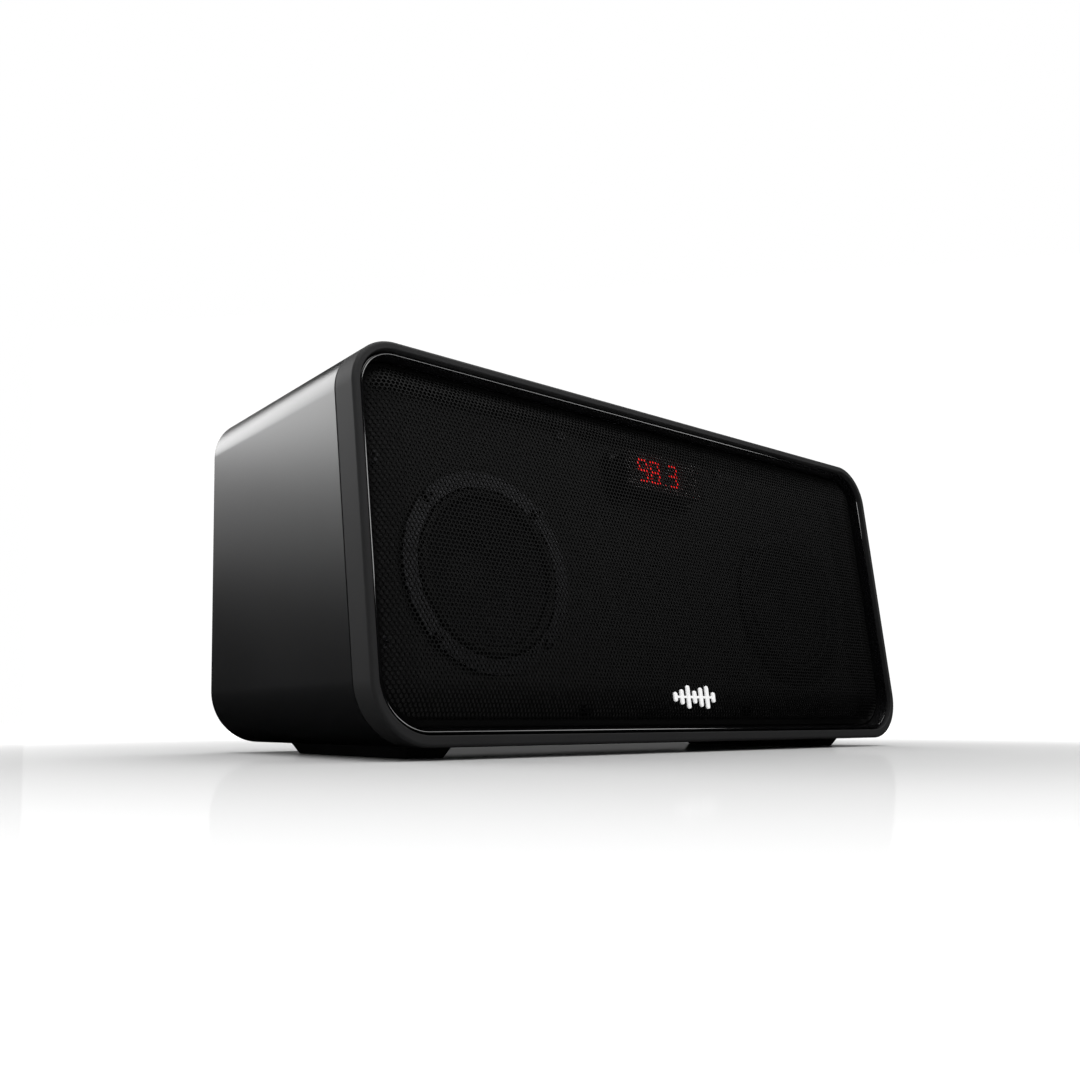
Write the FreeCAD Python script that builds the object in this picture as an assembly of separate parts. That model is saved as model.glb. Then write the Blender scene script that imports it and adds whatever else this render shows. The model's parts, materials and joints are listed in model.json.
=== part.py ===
"""Tabletop stereo radio, 370 mm wide, with a perforated front grille, an LED display, push buttons on
top and a folding telescopic antenna on the back.

Row frame, millimetres: +X to the right as seen from the front, +Y to the back, +Z up.
Origin: on the floor, midway across the width and midway between the frontmost and rearmost points.
The front leans back, so all that lies parallel to it is built in a front frame (X across, Y going
into the radio from the front face, Z up the slope from the bottom edge) and then leaned into place.
"""
import FreeCAD, Part
import math
import os

from FreeCAD import Vector

# Driving dimensions
WIDTH = 370.0
BODY_HEIGHT = 166.5
DEPTH = 157.0
FOOT_HEIGHT = 5.0
FRONT_Y = -83.2
LEAN_DEG = 7.15
TOP_RADIUS = 22.0
BOTTOM_RADIUS = 26.0
WALL = 4.0
CLEARANCE = 0.3

# Places that follow from them
LEAN = math.radians(LEAN_DEG)
SLOPE_HEIGHT = BODY_HEIGHT / math.cos(LEAN)
REAR_Y = FRONT_Y + DEPTH
BODY_BOTTOM = FOOT_HEIGHT
BODY_TOP = FOOT_HEIGHT + BODY_HEIGHT
INNER_FLOOR = BODY_BOTTOM + WALL
INNER_ROOF = BODY_TOP - WALL

# Front frame: distances from the outer edge and depths behind the front face
BEZEL_DEPTH = 14.0
BEZEL_FACE = 3.2
BEZEL_SILL = 1.4
BEZEL_ROUND = 1.6
FLANGE_DEPTH = 9.0
FLANGE_REACH = 12.0
TRIM_OUTER = 4.5
TRIM_LIP = 5.4
TRIM_FOOT = 6.2
TRIM_FRONT = 1.8
TRIM_BACK = 8.8
GRILLE_EDGE = 6.6
GRILLE_SILL = 3.0
GRILLE_FRONT = 1.0
GRILLE_CURVE = 28.0
GRILLE_TURN = math.radians(40)
GRILLE_STEPS = 6
GRILLE_SHEET = 0.7
BAFFLE_FRONT = 15.5
BAFFLE_BACK = 20.5
FRONT_BOSS_BACK = BAFFLE_BACK + 9.5

# Loudspeakers, in the front frame
SPEAKER_X = 112.0
SPEAKER_V = 78.0
FLANGE_R = 46.0
CUTOUT_R = 40.8
COIL_R = 12.2
MAGNET_R = 34.0

# Display, in the front frame
DISPLAY_V = 136.4
DIGIT_X = (-15.5, -6.7, 6.7, 15.5)
DIGIT_WIDTH = 7.0
DIGIT_HEIGHT = 12.7
SEGMENT_WIDTH = 1.15

# Control strip in the top
STRIP_Y = -12.0
STRIP_LENGTH = 192.0
STRIP_WIDTH = 28.0
BUTTON_PITCH = 25.0
BUTTON_LENGTH = 17.0
BUTTON_WIDTH = 10.0
BUTTONS = ("power", "source", "previous", "select", "next", "volume_down", "volume_up")

# Back
PANEL_INNER_Y = REAR_Y - 5.0
PANEL_OUTER_Y = REAR_Y - 2.0
PORT_X, PORT_Z, PORT_R, PORT_LENGTH = -95.0, 100.0, 19.0, 70.0
INLET_X, SWITCH_X, MAINS_Z = 108.0, 148.0, 40.0
JACK_X = (-22.0, 2.0)
JACK_Z = 24.6
ANTENNA_X, ANTENNA_Z, ANTENNA_Y = 150.0, 147.5, REAR_Y + 5.9
ANTENNA_RADII = (3.5, 2.8, 2.1)
ANTENNA_LENGTH = 146.0
ANTENNA_WALL = 0.4
BOARD_Z = 17.0
BOARD_SHEET = 1.6
SCREW_R = 1.5

FEET_X = (131.0, 158.5)
FEET_Y = (FRONT_Y + 23.0, FRONT_Y + 123.0)
X_AXIS, Y_AXIS, Z_AXIS = Vector(1, 0, 0), Vector(0, 1, 0), Vector(0, 0, 1)
ORIGIN = Vector(0, 0, 0)


def save(name, *solids):
    """Write one node. Several separate solids make a group."""
    shape = solids[0] if len(solids) == 1 else Part.makeCompound(list(solids))
    shape.exportStep("parts/%s.step" % name)


def fuse(*shapes):
    return shapes[0].multiFuse(list(shapes[1:])).removeSplitter()


def cut(shape, *tools):
    result = shape
    for tool in tools:
        result = result.cut(tool)
    return result


def lean(shape):
    """Take a shape from the front frame to the row frame."""
    placed = shape.copy()
    placed.rotate(ORIGIN, X_AXIS, -LEAN_DEG)
    placed.translate(Vector(0, FRONT_Y, FOOT_HEIGHT))
    return placed


def box(x0, x1, y0, y1, z0, z1):
    return Part.makeBox(x1 - x0, y1 - y0, z1 - z0, Vector(x0, y0, z0))


def rod(radius, x, z, y0, y1):
    """A cylinder along Y."""
    return Part.makeCylinder(radius, y1 - y0, Vector(x, y0, z), Y_AXIS)


def ring(inner, outer, x, z, y0, y1):
    return rod(outer, x, z, y0, y1).cut(rod(inner, x, z, y0 - 1, y1 + 1))


def post(radius, x, y, z0, z1):
    """A cylinder along Z."""
    return Part.makeCylinder(radius, z1 - z0, Vector(x, y, z0), Z_AXIS)


def outline(half, low, high, r_high, r_low, y, x=0.0):
    """A closed rectangle with rounded corners in the plane at y."""
    corners = (
        (half - r_low, low + r_low, r_low, -90),
        (half - r_high, high - r_high, r_high, 0),
        (r_high - half, high - r_high, r_high, 90),
        (r_low - half, low + r_low, r_low, 180),
    )
    arcs = []
    for cx, cz, radius, start in corners:
        points = []
        for angle in (start, start + 45, start + 90):
            a = math.radians(angle)
            points.append(Vector(x + cx + radius * math.cos(a), y, cz + radius * math.sin(a)))
        arcs.append(Part.Arc(*points).toShape())
    edges = []
    for arc, following in zip(arcs, arcs[1:] + arcs[:1]):
        edges.append(arc)
        start, end = arc.Vertexes[-1].Point, following.Vertexes[0].Point
        if start.distanceToPoint(end) > 1e-6:
            edges.append(Part.LineSegment(start, end).toShape())
    return Part.Wire(edges)


def prism(wire, y1):
    """Extrude a wire that lies in a plane at constant y up to y1."""
    y0 = wire.Vertexes[0].Point.y
    return Part.Face(wire).extrude(Vector(0, y1 - y0, 0))


def pad(x, z, half, height, radius, y0, y1):
    """A rounded plate facing along Y, centred on x, z."""
    wire = outline(half, z - height / 2, z + height / 2, radius, radius, y0, x)
    return prism(wire, y1)


def tablet(x, y, length, width, radius, z0, z1):
    """A rounded plate lying flat, centred on x, y."""
    plate = Part.makeBox(length, width, z1 - z0, Vector(x - length / 2, y - width / 2, z0))
    upright = [e for e in plate.Edges if abs(e.Vertexes[0].Z - e.Vertexes[1].Z) > 0.1]
    return plate.makeFillet(radius, upright)


def front_outline(inset, y, sill=0.0):
    """The front face's outline, moved in by inset, in the front frame."""
    return outline(WIDTH / 2 - inset, inset + sill, SLOPE_HEIGHT - inset,
                   max(TOP_RADIUS - inset, 2.0), max(BOTTOM_RADIUS - inset, 2.0), y)


def front_slab(depth0, depth1):
    """All that lies between two depths behind the front face."""
    return lean(box(-WIDTH, WIDTH, depth0, depth1, -80, 300))


def body_prism(inset, y0, y1):
    """The cabinet's outer form, moved in by inset."""
    wire = outline(WIDTH / 2 - inset, BODY_BOTTOM + inset, BODY_TOP - inset,
                   TOP_RADIUS - inset, BOTTOM_RADIUS - inset, y0)
    return prism(wire, y1)


def edges_on(shape, test):
    """Edges whose ends and middle all pass a test."""
    found = []
    for edge in shape.Edges:
        middle = edge.valueAt((edge.FirstParameter + edge.LastParameter) / 2)
        if all(test(p) for p in [v.Point for v in edge.Vertexes] + [middle]):
            found.append(edge)
    return found


def front_depth(point):
    """How far behind the front face a point of the row frame lies."""
    return (point.y - FRONT_Y) * math.cos(LEAN) - (point.z - FOOT_HEIGHT) * math.sin(LEAN)


def turned(points, x, v):
    """Turn a closed profile of radius, depth pairs about a loudspeaker's axis, in the front frame."""
    loop = [Vector(r, d, 0) for r, d in points]
    face = Part.Face(Part.makePolygon(loop + [loop[0]]))
    solid = face.revolve(ORIGIN, Y_AXIS, 360)
    solid.translate(Vector(x, 0, v))
    return solid


def screw(x, z, head_y, length, head_r=2.9, head_height=1.8):
    """A pan-head screw along Y with its head towards +Y; head_y is the face under the head."""
    head = rod(head_r, x, z, head_y, head_y + head_height)
    slots = [box(x - s, x + s, head_y + 0.8, head_y + 3, z - t, z + t)
             for s, t in ((1.7, 0.3), (0.3, 1.7))]
    return cut(fuse(rod(SCREW_R, x, z, head_y - length, head_y + 0.1), head), *slots)


# Cabinet

def rear_boss_places():
    low, high = INNER_FLOOR + 3.6, INNER_ROOF - 3.6
    places = [(x, z) for x in (-120.0, 0.0, 120.0) for z in (low, high)]
    side = WIDTH / 2 - WALL - 3.6
    return places + [(-side, 90.0), (side, 90.0)]


def front_boss_places():
    """Screw places of the baffle with the way to the nearest wall, in the front frame."""
    inset = FLANGE_REACH + 4.0
    side = WIDTH / 2 - inset
    places = []
    for x in (-60.0, 60.0):
        places += [(x, inset + BEZEL_SILL, 0, -1), (x, SLOPE_HEIGHT - inset, 0, 1)]
    for v in (44.0, 122.0):
        places += [(-side, v, -1, 0), (side, v, 1, 0)]
    return places


def front_boss(x, v, across, up):
    """A screw boss of the baffle and its web to the wall."""
    column = rod(4.5, x, v, BAFFLE_BACK, FRONT_BOSS_BACK)
    reach_x, reach_v = 18 * across, 18 * up
    web = box(min(x, x + reach_x) - 1.5, max(x, x + reach_x) + 1.5, BAFFLE_BACK, FRONT_BOSS_BACK,
              min(v, v + reach_v) - 1.5, max(v, v + reach_v) + 1.5)
    return lean(fuse(column, web))


def board_post_places():
    return [(x, y) for x in (-66.0, 46.0, 74.0, 158.0) for y in (0.0, 56.0)]


def cabinet_shell():
    outer = body_prism(0, FRONT_Y - 5, REAR_Y)
    rear_edges = edges_on(outer, lambda p: abs(p.y - REAR_Y) < 0.01)
    outer = outer.makeFillet(1.4, rear_edges)
    shell = outer.common(front_slab(BEZEL_DEPTH + CLEARANCE, 400))
    shell = shell.cut(body_prism(WALL, FRONT_Y - 10, REAR_Y + 5))
    bosses = [rod(4.0, x, z, PANEL_INNER_Y - 16, PANEL_INNER_Y) for x, z in rear_boss_places()]
    bosses += [front_boss(*place) for place in front_boss_places()]
    for x, y in board_post_places():
        bosses.append(post(3.5, x, y, INNER_FLOOR - 1, BOARD_Z))
    shell = fuse(shell, *[b.common(body_prism(WALL / 2, FRONT_Y, REAR_Y)) for b in bosses])
    holes = [rod(1.6, x, z, PANEL_INNER_Y - 14, REAR_Y + 1) for x, z in rear_boss_places()]
    for x, v, _, _ in front_boss_places():
        holes.append(lean(rod(1.6, x, v, BAFFLE_BACK - 1, FRONT_BOSS_BACK - 1)))
    holes += [post(1.6, x, y, INNER_FLOOR + 0.5, BOARD_Z + 1) for x, y in board_post_places()]
    holes += [post(1.6, x, y, BODY_BOTTOM - 1, INNER_FLOOR + 2) for x, y in foot_screw_places()]
    opening = tablet(0, STRIP_Y, STRIP_LENGTH, STRIP_WIDTH, 5.0, INNER_ROOF - 1, BODY_TOP + 1)
    return cut(shell, opening, *holes)


def front_bezel():
    outer = body_prism(0, FRONT_Y - 5, REAR_Y).common(front_slab(0, BEZEL_DEPTH))
    outer = outer.makeFillet(BEZEL_ROUND, edges_on(outer, lambda p: abs(front_depth(p)) < 0.01))
    mouth = lean(prism(front_outline(BEZEL_FACE, -1, BEZEL_SILL), FLANGE_DEPTH))
    back = lean(prism(front_outline(FLANGE_REACH, -1), BEZEL_DEPTH + 3))
    tongue = body_prism(WALL + CLEARANCE, FRONT_Y - 5, REAR_Y)
    tongue = tongue.common(front_slab(BEZEL_DEPTH - 1, BEZEL_DEPTH + 1.2))
    return cut(fuse(outer, tongue), mouth, back)


def trim_ring():
    """The gloss ring inside the bezel: a flat front lip, then a slope down to the grille."""
    outer = prism(front_outline(TRIM_OUTER, TRIM_FRONT, BEZEL_SILL), TRIM_BACK)
    lip = front_outline(TRIM_LIP, TRIM_FRONT, BEZEL_SILL)
    foot = front_outline(TRIM_FOOT, TRIM_BACK - 0.8, GRILLE_SILL)
    slope = Part.makeLoft([lip, foot], True, True)
    tail = prism(foot, TRIM_BACK + 1)
    return lean(cut(outer, slope, tail))


def pressed_form(shrink):
    """The grille's outer form, or its inner one: a flat front whose margin curves back to a skirt."""
    curve = GRILLE_CURVE - shrink
    reach = GRILLE_CURVE * math.sin(GRILLE_TURN)
    turn = math.asin((reach - shrink) / curve)
    loops = [front_outline(GRILLE_EDGE + shrink, FLANGE_DEPTH + 0.8, GRILLE_SILL)]
    for step in range(GRILLE_STEPS + 1):
        angle = turn * (1 - step / GRILLE_STEPS)
        inset = GRILLE_EDGE + reach - curve * math.sin(angle)
        depth = GRILLE_FRONT + GRILLE_CURVE - curve * math.cos(angle)
        loops.append(front_outline(inset, depth, GRILLE_SILL))
    return Part.makeLoft(loops, True, True)


def grille():
    """Pressed sheet metal. Its perforations are too many to cut here."""
    rear = box(-WIDTH, WIDTH, TRIM_BACK, 40, -50, 300)
    return lean(cut(pressed_form(0), pressed_form(GRILLE_SHEET), rear))


def badge():
    """A plain moulded mark of seven bars on one thin tie bar."""
    heights = (4.6, 7.4, 11.4, 6.4, 9.6, 11.4, 5.2)
    bars = []
    for index, height in enumerate(heights):
        bars.append(pad((index - 3) * 4.7, 22.0, 1.25, height, 1.2, 0.1, GRILLE_FRONT - 0.05))
    tie = pad(0.0, 22.0, 14.6, 1.2, 0.55, 0.35, GRILLE_FRONT - 0.05)
    return lean(fuse(tie, *bars))


def baffle():
    plate = body_prism(WALL + CLEARANCE, FRONT_Y - 5, REAR_Y)
    plate = plate.common(front_slab(BAFFLE_FRONT, BAFFLE_BACK))
    holes = [rod(CUTOUT_R, x, SPEAKER_V, 0, 60) for x in (-SPEAKER_X, SPEAKER_X)]
    holes += [rod(1.7, x, v, 0, 60) for x, v, _, _ in front_boss_places()]
    holes += [rod(1.6, x, v, 0, 60) for x, v in speaker_screw_places()]
    holes.append(pad(0, DISPLAY_V, 31.0, 23.0, 2.0, 0, 60))
    return cut(plate, *[lean(h) for h in holes])


def front_facing_screw(x, v, face, length, head_r=2.9):
    """A screw in the front frame with its head towards the front; face is under the head."""
    piece = screw(-x, v, -face, length, head_r)
    piece.rotate(ORIGIN, Z_AXIS, 180)
    return lean(piece)


def feet():
    """Two rubber rails whose sides draw in towards the floor."""
    rails = []
    for side in (-1, 1):
        x0, x1 = FEET_X
        loops = []
        for z, draw in ((0.0, 3.0), (FOOT_HEIGHT, 0.0)):
            low, high = Vector(x0 + draw, FEET_Y[0] + draw, z), Vector(x1 - draw, FEET_Y[1] - draw, z)
            corners = [low, Vector(high.x, low.y, z), high, Vector(low.x, high.y, z)]
            loops.append(Part.makePolygon(corners + [low]))
        rail = Part.makeLoft(loops, True, True)
        holes = [post(3.6, x, y, -1, 2.6) for x, y in foot_screw_places() if x > 0]
        holes += [post(1.7, x, y, -1, 9) for x, y in foot_screw_places() if x > 0]
        rail = cut(rail, *holes)
        rails.append(rail if side > 0 else rail.mirror(ORIGIN, X_AXIS))
    return rails


def foot_screw_places():
    x = sum(FEET_X) / 2
    return [(s * x, y) for s in (-1, 1) for y in (FEET_Y[0] + 18, FEET_Y[1] - 18)]


def upright_screw(x, y, face, length, head_up=True):
    """A screw along Z; face is the height of the face under its head."""
    head0, head1 = (face, face + 1.6) if head_up else (face - 1.6, face)
    shank0, shank1 = (face - length, face + 0.1) if head_up else (face - 0.1, face + length)
    body = fuse(post(2.9, x, y, head0, head1), post(SCREW_R, x, y, shank0, shank1))
    top0 = head1 - 0.9 if head_up else head0 - 1
    bars = [box(x - s, x + s, y - t, y + t, top0, top0 + 1.9) for s, t in ((1.7, 0.3), (0.3, 1.7))]
    return cut(body, *bars)


# Loudspeakers

def speaker_screw_places():
    places = []
    for x in (-SPEAKER_X, SPEAKER_X):
        for quarter in range(4):
            a = math.radians(45 + 90 * quarter)
            places.append((x + 43.4 * math.cos(a), SPEAKER_V + 43.4 * math.sin(a)))
    return places


def driver_frame(x):
    """A pressed steel basket with six windows and a bolting flange."""
    profile = ((FLANGE_R, 13.3), (FLANGE_R, 15.0), (40.2, 15.0), (40.2, 17.0), (27.0, 37.0),
               (27.0, 40.0), (13.6, 40.0), (13.6, 38.6), (25.6, 38.6), (25.6, 36.6),
               (38.8, 16.6), (38.8, 13.3))
    frame = turned(profile, x, SPEAKER_V)
    for index in range(6):
        a = math.radians(30 + 60 * index)
        direction = Vector(math.cos(a), 0, math.sin(a))
        start = Vector(x, 26.5, SPEAKER_V) + direction * 20
        frame = frame.cut(Part.makeCylinder(7.5, 28, start, direction))
    holes = [rod(1.7, px, pv, 10, 16) for px, pv in speaker_screw_places() if px * x > 0]
    return lean(cut(frame, *holes))


def driver_parts(x):
    """Every other piece of one loudspeaker, as name and solid pairs."""
    v = SPEAKER_V
    magnet = ring(18.0, MAGNET_R, x, v, 44.0, 54.0)
    top_plate = ring(COIL_R + 1.2, 30.0, x, v, 40.0, 44.0)
    yoke = fuse(rod(30.0, x, v, 54.0, 59.0), rod(COIL_R - 0.4, x, v, 40.0, 54.5))
    cone = turned(((33.0, 14.5), (33.0, 15.3), (13.2, 29.8), (12.3, 29.8), (12.3, 28.9)), x, v)
    cap_points = [(13.6 * math.sin(t), 28.1 - 3.4 * math.cos(t) ** 2)
                  for t in [math.radians(15 * i) for i in range(7)]]
    cap_back = [(max(0.0, r - 0.1), d + 0.5) for r, d in reversed(cap_points)]
    cap_back[0] = (13.2, 28.9)
    cap = turned(cap_points + cap_back, x, v)
    coil = fuse(ring(COIL_R, COIL_R + 0.4, x, v, 30.0, 46.5), ring(COIL_R, COIL_R + 0.8, x, v, 38.5, 45.5))
    roll = [(35.7 + 2.4 * math.cos(t), 14.3 - 2.4 * math.sin(t))
            for t in [math.radians(20 * i) for i in range(10)]]
    inner_roll = [(35.7 + 1.7 * math.cos(t), 14.3 - 1.7 * math.sin(t))
                  for t in [math.radians(180 - 20 * i) for i in range(10)]]
    surround = turned(roll + inner_roll, x, v)
    waves = [(13.4 + 1.1 * i, 33.0 + 0.6 * math.sin(math.radians(90 * i))) for i in range(10)]
    spider = turned(waves + [(r, d + 0.5) for r, d in reversed(waves)], x, v)
    return (("driver_magnet", [magnet]), ("driver_yoke", [top_plate, yoke]), ("cone", [cone, cap]),
            ("voice_coil", [coil]), ("surround", [surround]), ("spider", [spider]))


# Display

def segment(points, thickness, x, v):
    """One bar of a digit between two points, with pointed ends."""
    (x0, z0), (x1, z1) = points
    length = math.hypot(x1 - x0, z1 - z0)
    ux, uz = (x1 - x0) / length, (z1 - z0) / length
    half, gap = thickness / 2, 0.18
    loop = []
    for along, across in ((gap, 0), (gap + half, half), (length - gap - half, half),
                          (length - gap, 0), (length - gap - half, -half), (gap + half, -half)):
        loop.append(Vector(x + x0 + ux * along - uz * across, 3.1, v + z0 + uz * along + ux * across))
    return Part.Face(Part.makePolygon(loop + [loop[0]])).extrude(Vector(0, 0.25, 0))


def display_segments():
    """The lit bars of the frequency that is shown: nine, eight, point, three."""
    w, h = DIGIT_WIDTH / 2 - SEGMENT_WIDTH / 2, DIGIT_HEIGHT / 2 - SEGMENT_WIDTH / 2
    bars = {"a": ((-w, h), (w, h)), "b": ((w, h), (w, 0)), "c": ((w, 0), (w, -h)),
            "d": ((-w, -h), (w, -h)), "e": ((-w, 0), (-w, -h)), "f": ((-w, h), (-w, 0)),
            "g": ((-w, 0), (0, 0)), "k": ((0, 0), (w, 0))}
    lit = []
    for x, letters in zip(DIGIT_X, ("abcdfgk", "abcdefgk", "abcdgk")):
        lit += [segment(bars[key], SEGMENT_WIDTH, x, DISPLAY_V) for key in letters]
    lit.append(rod(0.75, 0, DISPLAY_V - h, 3.1, 3.35))
    return [lean(bar) for bar in lit]


def display_module():
    """The black digit block on its small circuit board."""
    block = box(-25.2, 25.2, 3.4, 11.4, DISPLAY_V - 9.5, DISPLAY_V + 9.5)
    board = box(-30.0, 30.0, 11.6, 13.2, DISPLAY_V - 10.5, DISPLAY_V + 10.5)
    return [lean(block), lean(board)]


# Control strip

def button_x(index):
    return (index - (len(BUTTONS) - 1) / 2) * BUTTON_PITCH


def control_panel():
    length, width = STRIP_LENGTH - 2 * CLEARANCE, STRIP_WIDTH - 2 * CLEARANCE
    plate_low, plate_high = BODY_TOP - 3, BODY_TOP - 1
    flange_low, flange_high = BODY_TOP - 5.4, BODY_TOP - 4.2
    plate = tablet(0, STRIP_Y, length, width, 4.7, flange_low, plate_high)
    flange = tablet(0, STRIP_Y, length + 10, width + 10, 6.0, flange_low, flange_high)
    well = tablet(0, STRIP_Y, length - 6, width - 6, 3.0, flange_low - 1, plate_low)
    tools = [well]
    for index in range(len(BUTTONS)):
        size = (BUTTON_LENGTH + 2 * CLEARANCE, BUTTON_WIDTH + 2 * CLEARANCE)
        tools.append(tablet(button_x(index), STRIP_Y, *size, 3.3, plate_low - 1, plate_high + 1))
    posts = [post(2.6, x, STRIP_Y, BODY_TOP - 12.0, plate_low + 0.5) for x in panel_post_places()]
    bores = [post(1.6, x, STRIP_Y, BODY_TOP - 13.0, BODY_TOP - 5.0) for x in panel_post_places()]
    return cut(fuse(cut(fuse(plate, flange), *tools), *posts), *bores)


def panel_post_places():
    half = BUTTON_PITCH / 2
    return (-5 * half, -half, half, 5 * half)


def button(index):
    """A cap with a retaining flange and a stem that meets its switch."""
    x = button_x(index)
    cap = tablet(x, STRIP_Y, BUTTON_LENGTH, BUTTON_WIDTH, 3.0, BODY_TOP - 4.0, BODY_TOP + 0.5)
    cap = cap.makeFillet(0.6, edges_on(cap, lambda p: abs(p.z - BODY_TOP - 0.5) < 0.01))
    flange = tablet(x, STRIP_Y, BUTTON_LENGTH + 2, BUTTON_WIDTH + 2, 3.6, BODY_TOP - 4.6, BODY_TOP - 3.4)
    stem = post(2.0, x, STRIP_Y, BODY_TOP - 7.0, BODY_TOP - 4.0)
    return fuse(cap, flange, stem)


def control_board():
    board = tablet(0, STRIP_Y, STRIP_LENGTH - 10, STRIP_WIDTH - 4, 1.5, BODY_TOP - 13.6, BODY_TOP - 12.0)
    return cut(board, *[post(1.7, x, STRIP_Y, BODY_TOP - 15, BODY_TOP - 10) for x in panel_post_places()])


def key_switches():
    switches = []
    for index in range(len(BUTTONS)):
        body = tablet(button_x(index), STRIP_Y, 6.0, 6.0, 0.4, BODY_TOP - 12.0, BODY_TOP - 8.9)
        switches.append(fuse(body, post(1.7, button_x(index), STRIP_Y, BODY_TOP - 9.0, BODY_TOP - 8.3)))
    return switches


# Electronics

def main_board():
    board = tablet(-10, 28, 120, 66, 2.0, BOARD_Z, BOARD_Z + BOARD_SHEET)
    holes = [post(1.7, x, y, 10, 30) for x, y in board_post_places() if x < 60]
    return cut(board, *holes)


def main_board_parts():
    top = BOARD_Z + BOARD_SHEET
    parts = [box(-4, 20, -2, 18, top, top + 4.2), box(-26, -14, 2, 16, top, top + 1.6)]
    parts += [box(26, 38, 6, 14, top, top + 6), box(-58, -50, 52, 58, top, top + 7)]
    parts += [post(4.0, x, y, top, top + 13) for x in (28.0, 38.0) for y in (26.0, 37.0)]
    parts += [post(2.5, x, 24.0, top, top + 8) for x in (-16.0, -8.0, 0.0)]
    return parts


def heat_sink():
    top = BOARD_Z + BOARD_SHEET
    base = box(-58, -28, 8, 44, top, top + 3)
    fins = [box(x, x + 1.6, 8, 44, top + 2, top + 24) for x in (-58 + 4.73 * i for i in range(7))]
    return fuse(base, *fins)


def power_board():
    board = tablet(116, 28, 96, 66, 2.0, BOARD_Z, BOARD_Z + BOARD_SHEET)
    return cut(board, *[post(1.7, x, y, 10, 30) for x, y in board_post_places() if x > 60])


def power_parts():
    top = BOARD_Z + BOARD_SHEET
    core = box(84, 116, 6, 36, top + 3, top + 27)
    bobbin = cut(box(80, 120, 10, 32, top, top + 30), box(83.8, 116.2, 5, 37, top + 2.8, top + 27.2))
    parts = [core, bobbin]
    parts += [post(8.0, x, 8.0, top, top + 25) for x in (132.0, 150.0)]
    parts += [box(126, 140, 24, 32, top, top + 12), box(146, 156, 22, 40, top, top + 10)]
    return parts


def audio_jacks():
    """Two 3.5 mm sockets that stand on the main board and reach through the back."""
    jacks = []
    for x in JACK_X:
        body = box(x - 6, x + 6, PANEL_INNER_Y - 12.5, PANEL_INNER_Y - 0.3,
                   BOARD_Z + BOARD_SHEET, JACK_Z + 5)
        nose = rod(3.9, x, JACK_Z, PANEL_INNER_Y - 2, PANEL_OUTER_Y + 0.4)
        jacks.append(fuse(body, nose).cut(rod(1.8, x, JACK_Z, PANEL_OUTER_Y - 14, PANEL_OUTER_Y + 2)))
    return jacks


def power_inlet():
    """A two-pole figure-eight mains inlet with its two pins."""
    x, z = INLET_X, MAINS_Z
    body = pad(x, z, 10.5, 14.0, 5.0, PANEL_INNER_Y - 15, PANEL_OUTER_Y)
    flange = pad(x, z, 16.0, 18.0, 3.0, PANEL_OUTER_Y, PANEL_OUTER_Y + 1.6)
    cavity = pad(x, z, 8.4, 8.8, 4.3, PANEL_OUTER_Y - 11, REAR_Y + 2)
    tail = box(x - 7, x + 7, PANEL_INNER_Y - 21, PANEL_INNER_Y - 14, z - 4, z + 4)
    shell = fuse(body, flange, tail).cut(cavity)
    pins = [rod(1.2, x + s * 4.3, z, PANEL_OUTER_Y - 11, PANEL_OUTER_Y - 1.5) for s in (-1, 1)]
    return [shell] + pins


def switch_housing():
    x, z = SWITCH_X, MAINS_Z
    body = pad(x, z, 6.6, 21.0, 1.0, PANEL_INNER_Y - 11, PANEL_OUTER_Y)
    flange = pad(x, z, 8.4, 24.0, 1.5, PANEL_OUTER_Y, PANEL_OUTER_Y + 1.4)
    cavity = box(x - 5.3, x + 5.3, PANEL_INNER_Y - 8, REAR_Y + 5, z - 9.2, z + 9.2)
    pivot_bore = Part.makeCylinder(1.55, 13.2, Vector(x - 6.6, PANEL_OUTER_Y - 4, z), X_AXIS)
    return fuse(body, flange).cut(cavity).cut(pivot_bore)


def switch_rocker():
    """The rocker, pressed in at its lower end."""
    x, z, y = SWITCH_X, MAINS_Z, PANEL_OUTER_Y - 4
    side = ((-4.0, -4.5), (4.2, -7.6), (6.2, -7.9), (4.6, 0.0), (6.2, 7.9), (4.2, 7.6), (-4.0, 4.5))
    loop = [Vector(x - 4.9, y + dy, z + dz) for dy, dz in side]
    body = Part.Face(Part.makePolygon(loop + [loop[0]])).extrude(Vector(9.8, 0, 0))
    pivot = Part.makeCylinder(1.5, 12.4, Vector(x - 6.2, y, z), X_AXIS)
    rocker = fuse(body, pivot)
    rocker.rotate(Vector(x, y, z), X_AXIS, -6)
    return rocker


# Back

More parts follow.
